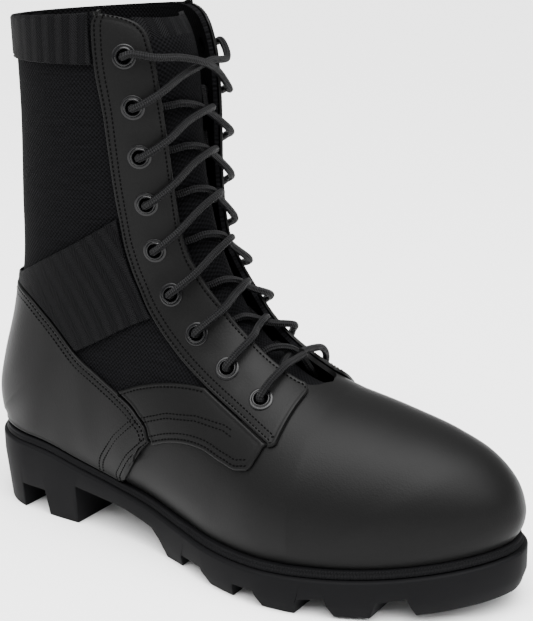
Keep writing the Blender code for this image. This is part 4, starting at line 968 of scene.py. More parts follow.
def bonded_thread():
    """Bonded nylon sewing thread: dark, twisted, with a dull shine."""
    colours = bpy.context.scene.boot_colours
    made, tree, shader = finish_of("bonded_thread", colours.thread, 0.8, specular=0.03)
    place = add(tree, "TexCoord").outputs["Object"]
    twist = add(tree, "TexNoise", {"Vector": place, "Scale": 1500.0, "Detail": 1.0})
    bumped(tree, shader, twist.outputs[0], 0.05 * MM, 0.5)
    return made


def studio_paper():
    """Seamless white paper, matt."""
    made, tree, shader = finish_of("studio_paper", bpy.context.scene.boot_colours.floor, 0.9, specular=0.1)
    place = add(tree, "TexCoord").outputs["Object"]
    fibres = add(tree, "TexNoise", {"Vector": place, "Scale": 300.0, "Detail": 2.0})
    bumped(tree, shader, fibres.outputs[0], 0.05 * MM, 0.2)
    return made


MAKERS = {
    "leather": grained_leather, "canvas": canvas_duck, "webbing": herringbone_webbing,
    "sole": lambda: moulded_rubber("sole_rubber_moulded", 0.6 * MM),
    "welt": lambda: moulded_rubber("welt_rubber_moulded", 0.5 * MM),
    "enamel": black_enamel, "cord": braided_cord, "felt": wool_felt, "thread": bonded_thread,
    "paper": studio_paper,
}
made_finishes = {}


def finish(name):
    """The material of that name, made when it is first asked for."""
    if name not in made_finishes:
        made_finishes[name] = MAKERS[name]()
    return made_finishes[name]


def clear_selection():
    if bpy.context.object and bpy.context.object.mode != "OBJECT":
        bpy.ops.object.mode_set(mode="OBJECT")
    bpy.ops.object.select_all(action="DESELECT")


def pick(*pieces):
    """Selects only these pieces, the first one active."""
    clear_selection()
    for piece in pieces:
        piece.select_set(True)
    bpy.context.view_layer.objects.active = pieces[0]


def join(name, pieces):
    pick(*pieces)
    if len(pieces) > 1:
        bpy.ops.object.join()
    pieces[0].name = name
    return pieces[0]


def in_edit(piece, *steps):
    """Runs edit-mode operators on the whole of a piece: each step is (operator, its settings)."""
    pick(piece)
    bpy.ops.object.mode_set(mode="EDIT")
    bpy.ops.mesh.select_all(action="SELECT")
    for operator, settings in steps:
        operator(**settings)
    bpy.ops.object.mode_set(mode="OBJECT")


def modify(piece, kind, **settings):
    """Adds a modifier, sets it and applies it."""
    pick(piece)
    change = piece.modifiers.new(kind.lower(), kind)
    for name, value in settings.items():
        setattr(change, name, value)
    bpy.ops.object.modifier_apply(modifier=change.name)


def smooth_shaded(piece, degrees=38.0):
    pick(piece)
    bpy.ops.object.shade_smooth_by_angle(angle=math.radians(degrees))


def set_materials(piece, *names):
    piece.data.materials.clear()
    for name in names:
        piece.data.materials.append(finish(name))


def stands_for(piece, slot, *nodes):
    """Ties a finished piece to the boot: its body and the solids it stands for. The slot argument is not
    used.
    """
    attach(piece, "root")
    if nodes:
        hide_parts(*nodes)
    return piece


def grid_of(name, points, cloth=None, **marks):
    """A grid with its points given as rows of columns, its UV map in metres and marks on its points."""
    rows, columns = points.shape[:2]
    clear_selection()
    bpy.ops.mesh.primitive_grid_add(x_subdivisions=columns - 1, y_subdivisions=rows - 1, size=1.0)
    piece = bpy.context.object
    piece.name = name
    mesh = piece.data
    mesh.vertices.foreach_set("co", points.astype(np.float32).ravel())
    corners = np.empty(len(mesh.loops), np.int32)
    mesh.loops.foreach_get("vertex_index", corners)
    if cloth is None:
        cloth = np.stack((points[..., 0], points[..., 2]), axis=2)
    flat = cloth.reshape(-1, 2)[corners].astype(np.float32)
    mesh.uv_layers.active.data.foreach_set("uv", flat.ravel())
    for mark, values in marks.items():
        layer = mesh.attributes.new(mark, "FLOAT", "POINT")
        layer.data.foreach_set("value", np.asarray(values, np.float32).ravel())
    mesh.update()
    return piece


def vertex_array(mesh, field="co"):
    values = np.empty(len(mesh.vertices) * 3, np.float32)
    if field == "co":
        mesh.vertices.foreach_get("co", values)
    else:
        mesh.vertex_normals.foreach_get("vector", values)
    return values.reshape(-1, 3)


def mark_array(mesh, mark):
    values = np.empty(len(mesh.vertices), np.float32)
    mesh.attributes[mark].data.foreach_get("value", values)
    return values


def wall_of(piece):
    """Lifts a sheet by its lift mark and closes it with a wall down to a layer's gap over the form."""
    in_edit(piece, (bpy.ops.mesh.remove_doubles, {"threshold": WELD}),
            (bpy.ops.mesh.dissolve_degenerate, {"threshold": FINE_WELD}))
    mesh = piece.data
    lift = mark_array(mesh, "lift")
    places = vertex_array(mesh) + vertex_array(mesh, "normal") * lift[:, None]
    mesh.vertices.foreach_set("co", places.astype(np.float32).ravel())
    mesh.update()
    walls = np.maximum(lift - LAYER_GAP, LEAST_WALL)
    most = float(walls.max())
    group = piece.vertex_groups.new(name="wall")
    for i, wall in enumerate(walls):
        group.add([i], float(wall / most), "REPLACE")
    modify(piece, "SOLIDIFY", thickness=most, offset=-1.0, vertex_group="wall", use_rim=True)
    piece.vertex_groups.clear()


def cloth_place(points, slope=0.0):
    """Place on the cloth in metres: along the boot, unrolled round the back, and up."""
    back, radius = -0.128, 0.040
    x = points[..., 0] - back
    round_part = radius * np.arccos(np.clip(1 - x / radius, -1, 1))
    across = np.where(x < radius, round_part, x + radius * (math.pi / 2 - 1))
    up = points[..., 2]
    turn = math.radians(slope)
    return np.stack((across * math.cos(turn) + up * math.sin(turn),
                     up * math.cos(turn) - across * math.sin(turn)), axis=-1)


def inside(point, corners):
    """Whether a point in the side view lies inside an outline."""
    p, q = corners, np.roll(corners, -1, axis=0)
    spans = (p[:, 1] > point[1]) != (q[:, 1] > point[1])
    rise = np.where(spans, q[:, 1] - p[:, 1], 1.0)
    x = p[:, 0] + (point[1] - p[:, 1]) * (q[:, 0] - p[:, 0]) / rise
    return bool(np.count_nonzero(spans & (x > point[0])) % 2)


def crossing(step, side, corners):
    """Lengths along a half section between which it lies inside an outline, or None."""
    points, length = line_of(step, side)
    first, last = points[0, [0, 2]], points[-1, [0, 2]]
    along = last - first
    edges = np.roll(corners, -1, axis=0) - corners
    from_first = corners - first
    across = along[0] * edges[:, 1] - along[1] * edges[:, 0]
    across = np.where(np.abs(across) < 1e-14, 1e-14, across)
    share = (from_first[:, 0] * edges[:, 1] - from_first[:, 1] * edges[:, 0]) / across
    place = (from_first[:, 0] * along[1] - from_first[:, 1] * along[0]) / across
    hits = share[(place >= 0) & (place < 1) & (share >= 0) & (share <= 1)]
    ends = sorted(float(hit) for hit in hits)
    if inside(first, corners):
        ends.insert(0, 0.0)
    if inside(last, corners):
        ends.append(1.0)
    if len(ends) < 2:
        return None
    shares = (points[:, [0, 2]] - first) @ along / (along @ along)
    low, high = np.interp((ends[0], ends[-1]), shares, length)
    return float(low), float(high)


def step_of(x, z):
    """The section that passes through a place in the side view, and the share of its length there."""
    steps = np.linspace(1.0, TOP_STEP, 1200)
    ends = np.array([section_ends(step) for step in steps])
    base, along = ends[:, 0], ends[:, 1] - ends[:, 0]
    away = np.array((x, z)) - base
    turn = along[:, 0] * away[:, 1] - along[:, 1] * away[:, 0]
    share = np.sum(away * along, axis=1) / np.sum(along * along, axis=1)
    for i in np.nonzero((turn[:-1] * turn[1:] <= 0) & (share[:-1] > -0.02) & (share[:-1] < 1.05))[0]:
        part = turn[i] / (turn[i] - turn[i + 1]) if turn[i] != turn[i + 1] else 0.0
        return float(steps[i] + part * (steps[i + 1] - steps[i])), float(
            share[i] + part * (share[i + 1] - share[i]))
    return None


_ends = {}


def section_ends(step):
    """First and last point of a section in the side view."""
    key = round(float(step), 6)
    if key not in _ends:
        front = (along_to_x(float(front_x(step))), float(front_z(step)))
        if step <= HEEL_STEP:
            x = base_point(float(base_way(step)), OUTER)[0]
            base = (x, float(feather_z(x)))
        else:
            base = (along_to_x(float(back_x(step))), float(back_z(step)))
        _ends[key] = (base, front)
    return _ends[key]


def on_form(x, z, side):
    """Point on the overlays' face at a place in the side view, and the outward direction there."""
    found = step_of(x, z)
    if found is None:
        return None
    step, share = found
    points, length = line_of(step, side)
    first = points[0, [0, 2]]
    along = points[-1, [0, 2]] - first
    shares = (points[:, [0, 2]] - first) @ along / (along @ along)
    run = float(np.interp(share, shares, length))
    run = min(max(run, RIDGE_GAP), full_run(step, side) - RIDGE_GAP)
    out = normal_at(min(max(step, 1.02), TOP_STEP - 0.011), side, run)
    return point_at(step, side, run) + out * OVERLAY_TOP, out


def sharp_corners(corners):
    """The places where an outline turns by more than 20 degrees."""
    ahead = np.roll(corners, -1, axis=0) - corners
    behind = corners - np.roll(corners, 1, axis=0)
    turn = np.abs(np.angle(np.exp(1j * (np.arctan2(ahead[:, 1], ahead[:, 0])
                                        - np.arctan2(behind[:, 1], behind[:, 0])))))
    return corners[turn > math.radians(20)]


def bordered(low, high, middle):
    """Lengths from low to high, with close ones along both ends."""
    width = high - low
    scale = min(1.0, width / 2 / (EDGE_PLACES[-1] * 1.2))
    near = EDGE_PLACES * scale
    return np.concatenate((low + near, np.linspace(low + near[-1], high - near[-1], middle + 2)[1:-1],
                           high - near[::-1]))


def edge_distance(points, line, skip):
    """Distance of each point from a closed line of points, leaving out the stretches to skip."""
    a, b = line, np.roll(line, -1, axis=0)
    keep = ~(skip(a) & skip(b))
    a, b = a[keep], b[keep]
    along = b - a
    size = np.maximum(np.sum(along * along, axis=1), 1e-14)
    best = np.full(len(points), 1.0)
    for i in range(len(a)):
        share = np.clip((points - a[i]) @ along[i] / size[i], 0.0, 1.0)
        gap = points - a[i] - share[:, None] * along[i]
        best = np.minimum(best, np.sum(gap * gap, axis=1))
    return np.sqrt(best)


def overlay_half(name, side, limits, steps, middle, profile, slope=0.0, wave=None):
    """One side of a layer over the upper: a grid between two lengths on each section."""
    rows = []
    for step in steps:
        low, high = limits(step, side)
        rows.append(point_at(step, side, bordered(low, high, middle)))
    points = np.array(rows)
    line = np.concatenate((points[0], points[1:, -1], points[-1, -2::-1], points[-2:0:-1, 0]))

    def on_middle(places):
        return (np.abs(places[:, 1]) < 0.0006) & (places[:, 0] < -0.05)

    gap = edge_distance(points.reshape(-1, 3), line, on_middle).reshape(points.shape[:2])
    lift = OVERLAY_TOP * np.interp(gap, EDGE_PLACES, profile)
    if wave is not None:
        lift = lift + wave(points) * np.clip(gap / (6 * MM), 0, 1)
    piece = grid_of(name, points, cloth_place(points, slope), lift=lift)
    if side == INNER:
        in_edit(piece, (bpy.ops.mesh.flip_normals, {}))
    return piece


def panel_steps(side, corners):
    """Sections that a panel covers, with one through each of its corners."""
    tries = np.linspace(1.0, TOP_STEP, 900)
    covered = [step for step in tries if crossing(step, side, corners)]
    low, high = covered[0], covered[-1]
    gap = tries[1] - tries[0]
    for bound, beyond in ((low, low - gap), (high, high + gap)):
        good, bad = bound, min(max(beyond, 1.0), TOP_STEP)
        for _ in range(14):
            middle = (good + bad) / 2
            if crossing(middle, side, corners):
                good = middle
            else:
                bad = middle
        if bound == low:
            start = good
        end = good
    stops = [start, end]
    for x, z in sharp_corners(corners):
        found = step_of(x, z)
        if found and start + 0.004 < found[0] < end - 0.004 and 0 <= found[1] <= 1:
            stops.append(found[0])
    stops = sorted(stops)
    steps = []
    for one, two in zip(stops, stops[1:]):
        count = max(2, round((two - one) * PER_STEP))
        steps.extend(np.linspace(one, two, count, endpoint=False))
    return [*steps, stops[-1]]


def panel(name, node, cover, corners, profile, middle, slope=0.0, sides=(OUTER, INNER), wave=None):
    """A layer over the upper inside an outline in the side view, in the material that covers it."""
    corners = np.array(corners)
    halves = []
    for side in sides:
        steps = panel_steps(side, corners)

        def limits(step, side=side):
            found = crossing(step, side, corners)
            return found if found else (0.0, 0.00001)

        halves.append(overlay_half(name, side, limits, steps, middle, profile, slope, wave))
    piece = join(name, halves)
    wall_of(piece)
    smooth_shaded(piece, 50.0)
    set_materials(piece, cover)
    return stands_for(piece, cover, node)


def waves_of(scale, depth, stretch):
    """A soft unevenness that runs over the leather, as heights for points."""
    def heights(points):
        p = points * np.array(stretch) / scale
        return depth * (np.sin(p[..., 0] * 6.1 + 1.3 * np.sin(p[..., 2] * 3.7))
                        * np.sin(p[..., 2] * 5.3 + 0.7 + 0.9 * np.sin(p[..., 0] * 2.9)))
    return heights


def make_upper():
    """Vamp, quarters and shaft in one wall: leather at the foot and canvas above."""
    steps = []
    for first, last, count in UPPER_GROUPS:
        steps.extend(np.linspace(first, last, count, endpoint=False))
    steps.append(TOP_STEP)
    halves = []
    for side in (OUTER, INNER):
        points = np.array([point_at(step, side, np.linspace(0.0, throat_run(step, side), UPPER_COLUMNS))
                           for step in steps])
        piece = grid_of("upper_half", points, cloth_place(points))
        if side == INNER:
            in_edit(piece, (bpy.ops.mesh.flip_normals, {}))
        halves.append(piece)
    piece = join("vamp_and_shaft", halves)
    set_materials(piece, "leather", "canvas")
    in_edit(piece, (bpy.ops.mesh.remove_doubles, {"threshold": WELD}),
            (bpy.ops.mesh.dissolve_degenerate, {"threshold": FINE_WELD}))
    mesh = piece.data
    centres = np.empty(len(mesh.polygons) * 3, np.float32)
    mesh.polygons.foreach_get("center", centres)
    centres = centres.reshape(-1, 3)
    cloth = (centres[:, 2] > LEATHER_LINE) & (centres[:, 0] < VAMP_X)
    mesh.polygons.foreach_set("material_index", cloth.astype(np.int32))
    modify(piece, "SOLIDIFY", thickness=UPPER_WALL, offset=-1.0, use_rim=True)
    return piece


def stay_steps():
    stops = (STAY_END[0], STAY_END[0] + 0.10, 2.0, HEEL_STEP, 6.0, TOP_STEP)
    counts = (10, 40, 60, 110, 26)
    steps = []
    for one, two, count in zip(stops, stops[1:], counts):
        steps.extend(np.linspace(one, two, count, endpoint=False))
    return [*steps, TOP_STEP]


def rounded_stay(step, side):
    """The eyestay's limits, with the corners of its lower end rounded off."""
    low, high = stay_limits(step, side)
    radius = 5.0 * MM
    start = STAY_END[0]
    foot = point_at(start, side, sum(stay_limits(start, side)) / 2)
    here = float(np.linalg.norm(point_at(step, side, (low + high) / 2) - foot))
    if step > start + 0.4 or here >= radius:
        return low, high
    inset = radius - math.sqrt(radius ** 2 - (radius - here) ** 2)
    return low + inset * 0.5, high - inset


def dents_of(places):
    """Hollows that the lace's pull leaves in an eyestay, between its eyelets."""
    spots = np.array([place[0] for place in places])
    middles = (spots[1:] + spots[:-1]) / 2

    def heights(points):
        depth = np.zeros(points.shape[:2])
        for i, spot in enumerate(middles):
            gap = np.sum((points - spot) ** 2, axis=-1)
            depth -= (0.30 + 0.15 * (i % 2)) * MM * np.exp(-gap / (5.5 * MM) ** 2)
        return depth
    return heights


def make_stay(side, places):
    """A leather eyestay along one side of the throat."""
    word = "outer" if side == OUTER else "inner"
    half = overlay_half("facing_" + word, side, rounded_stay, stay_steps(), 12, LEATHER_EDGE,
                        wave=dents_of(places))
    wall_of(half)
    smooth_shaded(half, 50.0)
    return half


def holes_cutter(places):
    """Round punches through the eyestays and the upper, where the eyelets sit."""
    punches = []
    for point, out, _ in places:
        clear_selection()
        bpy.ops.mesh.primitive_cylinder_add(vertices=24, radius=EYELET_BORE / 2 + EYELET_BARREL + FIT_GAP,
                                            depth=0.012)
        plug = bpy.context.object
        plug.data.transform(frame_at(point, out))
        punches.append(plug)
    return join("punches", punches)


def punch(piece, cutter):
    modify(piece, "BOOLEAN", operation="DIFFERENCE", solver="EXACT", object=cutter)


def make_eyelet_shape():
    """A rolled eyelet, turned about its own axis."""
    bore, barrel = EYELET_BORE / 2, EYELET_BORE / 2 + EYELET_BARREL
    flange, top = EYELET_FLANGE / 2, SEAT + EYELET_RIM
    profile = (  # radius, height over the form
        (bore, -UPPER_WALL - FIT_GAP), (bore, SEAT), (bore + 0.10 * MM, top - 0.25 * MM),
        (bore + 0.35 * MM, top + 0.05 * MM), (bore + 0.70 * MM, top + 0.12 * MM),
        (bore + 1.05 * MM, top - 0.05 * MM), (bore + 1.30 * MM, top - 0.40 * MM),
        (bore + 1.50 * MM, SEAT + 0.30 * MM), (flange - 0.8 * MM, SEAT + 0.32 * MM),
        (flange - 0.25 * MM, SEAT + 0.24 * MM), (flange, SEAT + 0.08 * MM), (flange - 0.1 * MM, SEAT),
        (barrel, SEAT), (barrel, -UPPER_WALL - FIT_GAP),
    )
    clear_selection()
    radius, height = profile[0]
    bpy.ops.mesh.primitive_circle_add(vertices=40, radius=radius, location=(0, 0, height))
    piece = bpy.context.object
    bpy.ops.object.transform_apply(location=True, rotation=False, scale=False)
    bpy.ops.object.mode_set(mode="EDIT")
    bpy.ops.mesh.select_all(action="SELECT")
    for r, h in profile[1:] + profile[:1]:
        bpy.ops.mesh.extrude_edges_move()
        bpy.ops.transform.resize(value=(r / radius, r / radius, 1.0), center_override=(0, 0, 0))
        bpy.ops.transform.translate(value=(0, 0, h - height))
        radius, height = r, h
    bpy.ops.mesh.select_all(action="SELECT")
    bpy.ops.mesh.remove_doubles(threshold=FINE_WELD)
    bpy.ops.mesh.normals_make_consistent(inside=False)
    bpy.ops.object.mode_set(mode="OBJECT")
    return piece


def lace_routes(places):
    """Points that the two ends of the lace follow, from the bar at the bottom to the top."""
    radius = LACE_DIAMETER / 2
    inside = -UPPER_WALL - 5 * FIT_GAP - radius
    outside = SEAT + EYELET_RIM + 3 * FIT_GAP + radius
    over_tongue = -TONGUE_DROP + 3 * FIT_GAP + radius
    bottom = EYELET_COUNT - 1

    def spot(side, step, run, depth):
        return point_at(step, side, run) + normal_at(step, side, run) * depth

    def through(side, index, depth, shift=0.0):
        """On the eyelet's own axis, or a little off it towards the throat."""
        point, out, step = places[side][index]
        run = eyelet_run(step, side, shift)
        return point + out * depth + (point_at(step, side, run) - point)

    def level_with(side, step, depth, share):
        """Between the eyelets' row and the throat's edge."""
        return spot(side, step, eyelet_run(step, side, share), depth)

    def beside(side, index, depth, share):
        """Between an eyelet and the throat's edge."""
        return level_with(side, places[side][index][2], depth, share)

    def across(side, step, share, depth):
        """Over the tongue, at a share of the way from the throat's edge to the ridge."""
        edge_run = lacing_edge(step, side)
        run = edge_run + share * (full_run(step, side) - edge_run)
        return spot(side, step, min(run, full_run(step, side) - RIDGE_GAP), depth)

    def ridge(step, depth):
        left = across(OUTER, step, 1.0, depth)
        right = across(INNER, step, 1.0, depth)
        return (left + right) / 2

    def span(side, first, second, start, rise, end):
        """Points between an eyelet and the one across, at depths for start, middle and end."""
        one = places[side][first][2]
        two = places[-side][second][2]
        if start > 0 and end > 0:
            shares = LACE_TOP_INWARD if side == OUTER else LACE_TOP_OUTWARD
        else:
            shares = LACE_INWARD if side == OUTER else LACE_OUTWARD
        steps = [one + (two - one) * share for share in shares]
        low = over_tongue + max(0.0, rise) * 0.75
        step_up = LACE_DIAMETER / 2
        return [
            level_with(side, steps[0], start, 0.95),
            across(side, steps[1], 0.5, low + (step_up if start > 0 else 0.0)),
            ridge(steps[2], over_tongue + rise),
            across(-side, steps[3], 0.5, low + (step_up if end > 0 else 0.0)),
            level_with(-side, steps[4], end, 0.95),
        ]

    def into_hole(side, index):
        """Points from inside the boot up through an eyelet and over its rim."""
        return [beside(side, index, inside, 0.40), through(side, index, inside + radius * 0.3, 0.04),
                through(side, index, 0.0), through(side, index, outside - radius * 0.5, 0.0),
                beside(side, index, outside + radius * 0.3, 0.28)]

    lift = LACE_DIAMETER * 0.93
    routes = []
    for side in (OUTER, INNER):
        first_side = side == OUTER
        step = places[side][bottom][2]
        route = [ridge(step, over_tongue + 2.2 * lift), across(side, step, 0.4, outside * 0.6),
                 beside(side, bottom, outside, 0.9), *into_hole(side, bottom)[::-1]]
        route += span(side, bottom, bottom - 1, inside, 0.0 if first_side else lift, inside)
        side = -side
        for index in range(bottom - 1, 0, -1):
            route += into_hole(side, index)
            last = index == 1
            over = (index % 2 == 0) == first_side
            rise = (1.7 * lift if first_side else 0.7 * lift) if last else (lift if over else 0.0)
            route += span(side, index, index - 1, outside, rise, outside if last else inside)
            side = -side
        route += into_hole(side, 0)[:1:-1]
        routes.append(route)
    return routes


def stitch_shape():
    """One stitch: a short rounded length of thread."""
    clear_selection()
    bpy.ops.mesh.primitive_uv_sphere_add(segments=7, ring_count=5, radius=0.5)
    piece = bpy.context.object
    places = vertex_array(piece.data)
    faces = [tuple(face.vertices) for face in piece.data.polygons]
    bpy.data.objects.remove(piece, do_unlink=True)
    return places[:, [2, 0, 1]], faces


def resampled(line, pitch):
    """Places a pitch apart along a line of points, with their directions."""
    run = run_along(line)
    places = np.arange(pitch / 2, run[-1], pitch)
    at, ahead, behind = (placed(places + near, run, line) for near in (0.0, 0.3 * MM, -0.3 * MM))
    return at, unit(ahead - behind + 1e-12), places, run


def make_stitches(name, seams, shape):
    """Joined stitches along seams; a seam is (points, outward directions)."""
    pitch = bpy.context.scene.boot_sizes.stitch_pitch
    template, faces = shape
    verts, rings = [], []
    for line, outs in seams:
        at, along, places, run = resampled(line, pitch)
        out = placed(places, run, outs)
        across = unit(np.cross(out, along))
        up = np.cross(along, across)
        for i in range(len(at)):
            base = len(verts) * len(template)
            sizes = (STITCH_LENGTH, STITCH_WIDTH, STITCH_WIDTH)
            axes = np.stack((along[i], across[i], up[i]))
            verts.append(at[i] + (template * sizes) @ axes)
            rings.extend(tuple(base + k for k in face) for face in faces)
    mesh = bpy.data.meshes.new(name)
    mesh.from_pydata(np.concatenate(verts).tolist(), [], rings)
    piece = bpy.data.objects.new(name, mesh)
    bpy.context.scene.collection.objects.link(piece)
    in_edit(piece, (bpy.ops.mesh.normals_make_consistent, {"inside": False}))
    smooth_shaded(piece, 80.0)
    set_materials(piece, "thread")
    return stands_for(piece, "lace_cord")


def side_view_seam(line, side, offset):
    """A seam at a distance from a line in the side view, laid on the overlays' outer face."""
    line = np.array(line)
    ahead = np.gradient(line, axis=0)
    ahead /= np.linalg.norm(ahead, axis=1)[:, None]
    moved = line + np.stack((-ahead[:, 1], ahead[:, 0]), axis=1) * offset
    found = [on_form(x, z, side) for x, z in moved]
    found = [pair for pair in found if pair is not None]
    return np.array([pair[0] for pair in found]), np.array([pair[1] for pair in found])


def stay_seam(side, from_rear=None, from_throat=None):
    """A seam along the eyestay at a distance from its rear or its throat edge."""
    points, outs = [], []
    for step in np.linspace(STAY_END[0] + 0.03, TOP_STEP - 0.04, 260):
        low, high = rounded_stay(step, side)
        run = low + from_rear if from_rear is not None else high - from_throat
        if not low + 1.0 * MM < run < high - 1.0 * MM:
            continue
        out = normal_at(step, side, run)
        points.append(point_at(step, side, run) + out * (OVERLAY_TOP + 0.02 * MM))
        outs.append(out)
    return np.array(points), np.array(outs)


def tube_of(name, points, radius, pitch):
    """A round cord along a smooth curve, its braid in slight relief and laid out on its UV map."""
    line = smooth_line(points, LACE_SPACING)
    tangent = unit(np.gradient(line, axis=0))
    across = np.cross(tangent[0], (0.0, 0.0, 1.0))
    run = run_along(line)
    turns = np.linspace(0.0, 2 * math.pi, LACE_SIDES + 1)
    rings = []
    for i, point in enumerate(line):
        across = across - tangent[i] * (across @ tangent[i])
        across /= np.linalg.norm(across)
        up = np.cross(tangent[i], across)
        phase = 2 * math.pi * run[i] / pitch
        braid = np.sin(phase + 3 * turns) * np.sin(phase - 3 * turns)
        size = radius * (0.97 + 0.06 * braid)
        rings.append(point + size[:, None] * (np.cos(turns)[:, None] * across + np.sin(turns)[:, None] * up))
    first, last = (np.repeat(line[end][None], LACE_SIDES + 1, axis=0) for end in (0, -1))
    points = np.array([first, *rings, last])
    rows = np.concatenate((run[:1], run, run[-1:]))
    cloth = np.stack(np.broadcast_arrays(turns[None] / (2 * math.pi), rows[:, None]), axis=2)
    piece = grid_of(name, points, cloth)
    in_edit(piece, (bpy.ops.mesh.remove_doubles, {"threshold": FINE_WELD}),
            (bpy.ops.mesh.normals_make_consistent, {"inside": False}))
    return piece


def ladder(rings, name):
    """Closed shell between rings of like pairs of side lines: each ring is (outer line, inner line)."""
    loops = [np.concatenate((np.array(outer), np.array(inner)[-2:0:-1])) for outer, inner in rings]
    points = np.array([np.concatenate((loop, loop[:1])) for loop in loops])
    piece = grid_of(name, points)
    in_edit(piece, (bpy.ops.mesh.remove_doubles, {"threshold": FINE_WELD}))
    mesh = piece.data
    count = len(rings[0][0])
    total = 2 * count - 2
    work = bmesh.new()
    work.from_mesh(mesh)
    work.verts.ensure_lookup_table()
    for level in (0, len(rings) - 1):
        ring = level * total
        for i in range(count - 1):
            ids = [ring + i, ring + i + 1, ring + (total - i - 1) % total, ring + (total - i) % total]
            seen = list(dict.fromkeys(ids))
            work.faces.new([work.verts[k] for k in seen])
    bmesh.ops.recalc_face_normals(work, faces=work.faces)
    work.to_mesh(mesh)
    work.free()
    return piece


def cut_away(piece, work):
    """Cuts a piece with the closed prisms of a bmesh."""
    bmesh.ops.recalc_face_normals(work, faces=work.faces)
    mesh = bpy.data.meshes.new("cutting_form")
    work.to_mesh(mesh)
    work.free()
    form = bpy.data.objects.new("cutting_form", mesh)
    bpy.context.scene.collection.objects.link(form)
    modify(piece, "BOOLEAN", operation="DIFFERENCE", solver="EXACT", object=form)
    bpy.data.objects.remove(form, do_unlink=True)


def make_outsole():
    """The moulded sole: side, lugs, middle row, heel block and arch."""
    low = raised(outline(lambda x: SIDE_DRAFT), tread_z)
    side_low = raised(outline(lambda x: 0.0), lambda x: edge_z(x) - SIDE_BAND)
    side_high = raised(outline(lambda x: 0.0), lambda x: edge_z(x) - TOP_BEVEL)
    top = raised(outline(lambda x: TOP_BEVEL), edge_z)
    sole = ladder((low, side_low, side_high, top), "lugged_outsole")
    work = bmesh.new()
    prism(work, [(along_to_x(along), height) for along, height in ARCH_ROWS], -BALL_WIDTH, BALL_WIDTH)
    cut_away(sole, work)
    work = bmesh.new()
    for row in LUG_GAPS:
        both_sides(work, lug_gap(*row), (MIDDLE_ROW + MIDDLE_GROOVE) / 2, BALL_WIDTH)
    for first, last in HEEL_GAPS:
        x0, x1 = along_to_x(first), along_to_x(last)
        corners = [(x0, -BEYOND), (x0, HEEL_LUG_DEPTH), (x1 - HEEL_GAP_LEAN, HEEL_LUG_DEPTH), (x1, -BEYOND)]
        both_sides(work, corners, MIDDLE_ROW / 2, BALL_WIDTH)
    cut_away(sole, work)
    work = bmesh.new()
    first, last = [along_to_x(share) for share in MIDDLE_SPAN]
    corners = edge_line(tread_z, first, last, MIDDLE_DEPTH, 0.010) + [(last, -BEYOND), (first, -BEYOND)]
    both_sides(work, corners, MIDDLE_ROW / 2, MIDDLE_ROW / 2 + MIDDLE_GROOVE)
    cut_away(sole, work)
    work = bmesh.new()
    for share in MIDDLE_CUTS:
        x0, x1 = along_to_x(share) - MIDDLE_GROOVE / 2, along_to_x(share) + MIDDLE_GROOVE / 2
        top_z = float(tread_z(x0)) + MIDDLE_DEPTH - FIT_GAP
        reach = MIDDLE_ROW / 2 + MIDDLE_GROOVE / 2
        prism(work, [(x0, -BEYOND), (x0, top_z), (x1, top_z), (x1, -BEYOND)], -reach, reach)
    cut_away(sole, work)
    modify(sole, "BEVEL", width=0.6 * MM, segments=2, limit_method="ANGLE",
           angle_limit=math.radians(32), use_clamp_overlap=False)
    smooth_shaded(sole, 32.0)
    set_materials(sole, "sole")
    return stands_for(sole, "sole_rubber", "outsole")


def make_welt():
    """The ribbed ring between the outsole and the upper."""
    outer, inner = outline(lambda x: 0.0)
    loop = np.concatenate((outer, inner[-2:0:-1]))
    closed = np.concatenate((loop, loop[:1]))
    run = run_along(closed)
    pitch = bpy.context.scene.boot_sizes.rib_pitch
    count = int(run[-1] / pitch) * 5
    places = np.linspace(0.0, run[-1], count + 1)
    x, y = placed(places, run, closed).T
    reach = 0.004
    ahead, behind = (placed((places + near) % run[-1], run, closed) for near in (reach, -reach))
    ahead = unit(ahead - behind)
    inward = np.stack((-ahead[:, 1], ahead[:, 0]), axis=1)
    phase = 2 * math.pi * np.round(run[-1] / pitch) * places / run[-1]
    ribbed = np.clip((x - RIB_FROM) / 0.012, 0.0, 1.0)
    profile = (  # inset as share of the ledge, height, how much of a rib, and of a loop over it
        (None, 0.3, 0, 0), (0.42, 0.3, 0, 0), (0.38, 0.8, 0.7, 0), (0.40, 1.5, 1.0, 0), (0.45, 2.1, 0.9, 0),
        (0.52, 2.5, 0.2, 0), (0.50, 2.9, 0, 0.6), (0.53, 3.4, 0, 1.0), (0.60, 3.8, 0, 0.7),
        (0.72, 3.9, 0, 0), (None, 3.9, 0, 0), (None, 0.3, 0, 0),
    )
    rows = []
    for inset, height, rib, link in profile:
        depth = ledge(x) + UPPER_WALL + WELT_REACH if inset is None else ledge(x) * inset
        depth = depth - ribbed * (rib * 0.30 * MM * np.cos(phase) + link * 0.35 * MM * np.cos(phase + 1.8))
        level = edge_z(x) + height * MM + ribbed * link * 0.15 * MM * np.cos(phase + 1.8)
        rows.append(np.stack((x + inward[:, 0] * depth, y + inward[:, 1] * depth, level), axis=1))
    piece = grid_of("ribbed_welt", np.array(rows))
    in_edit(piece, (bpy.ops.mesh.remove_doubles, {"threshold": 0.00002}),
            (bpy.ops.mesh.normals_make_consistent, {"inside": False}))
    smooth_shaded(piece, 60.0)
    set_materials(piece, "welt")
    return stands_for(piece, "welt_rubber", "welt")


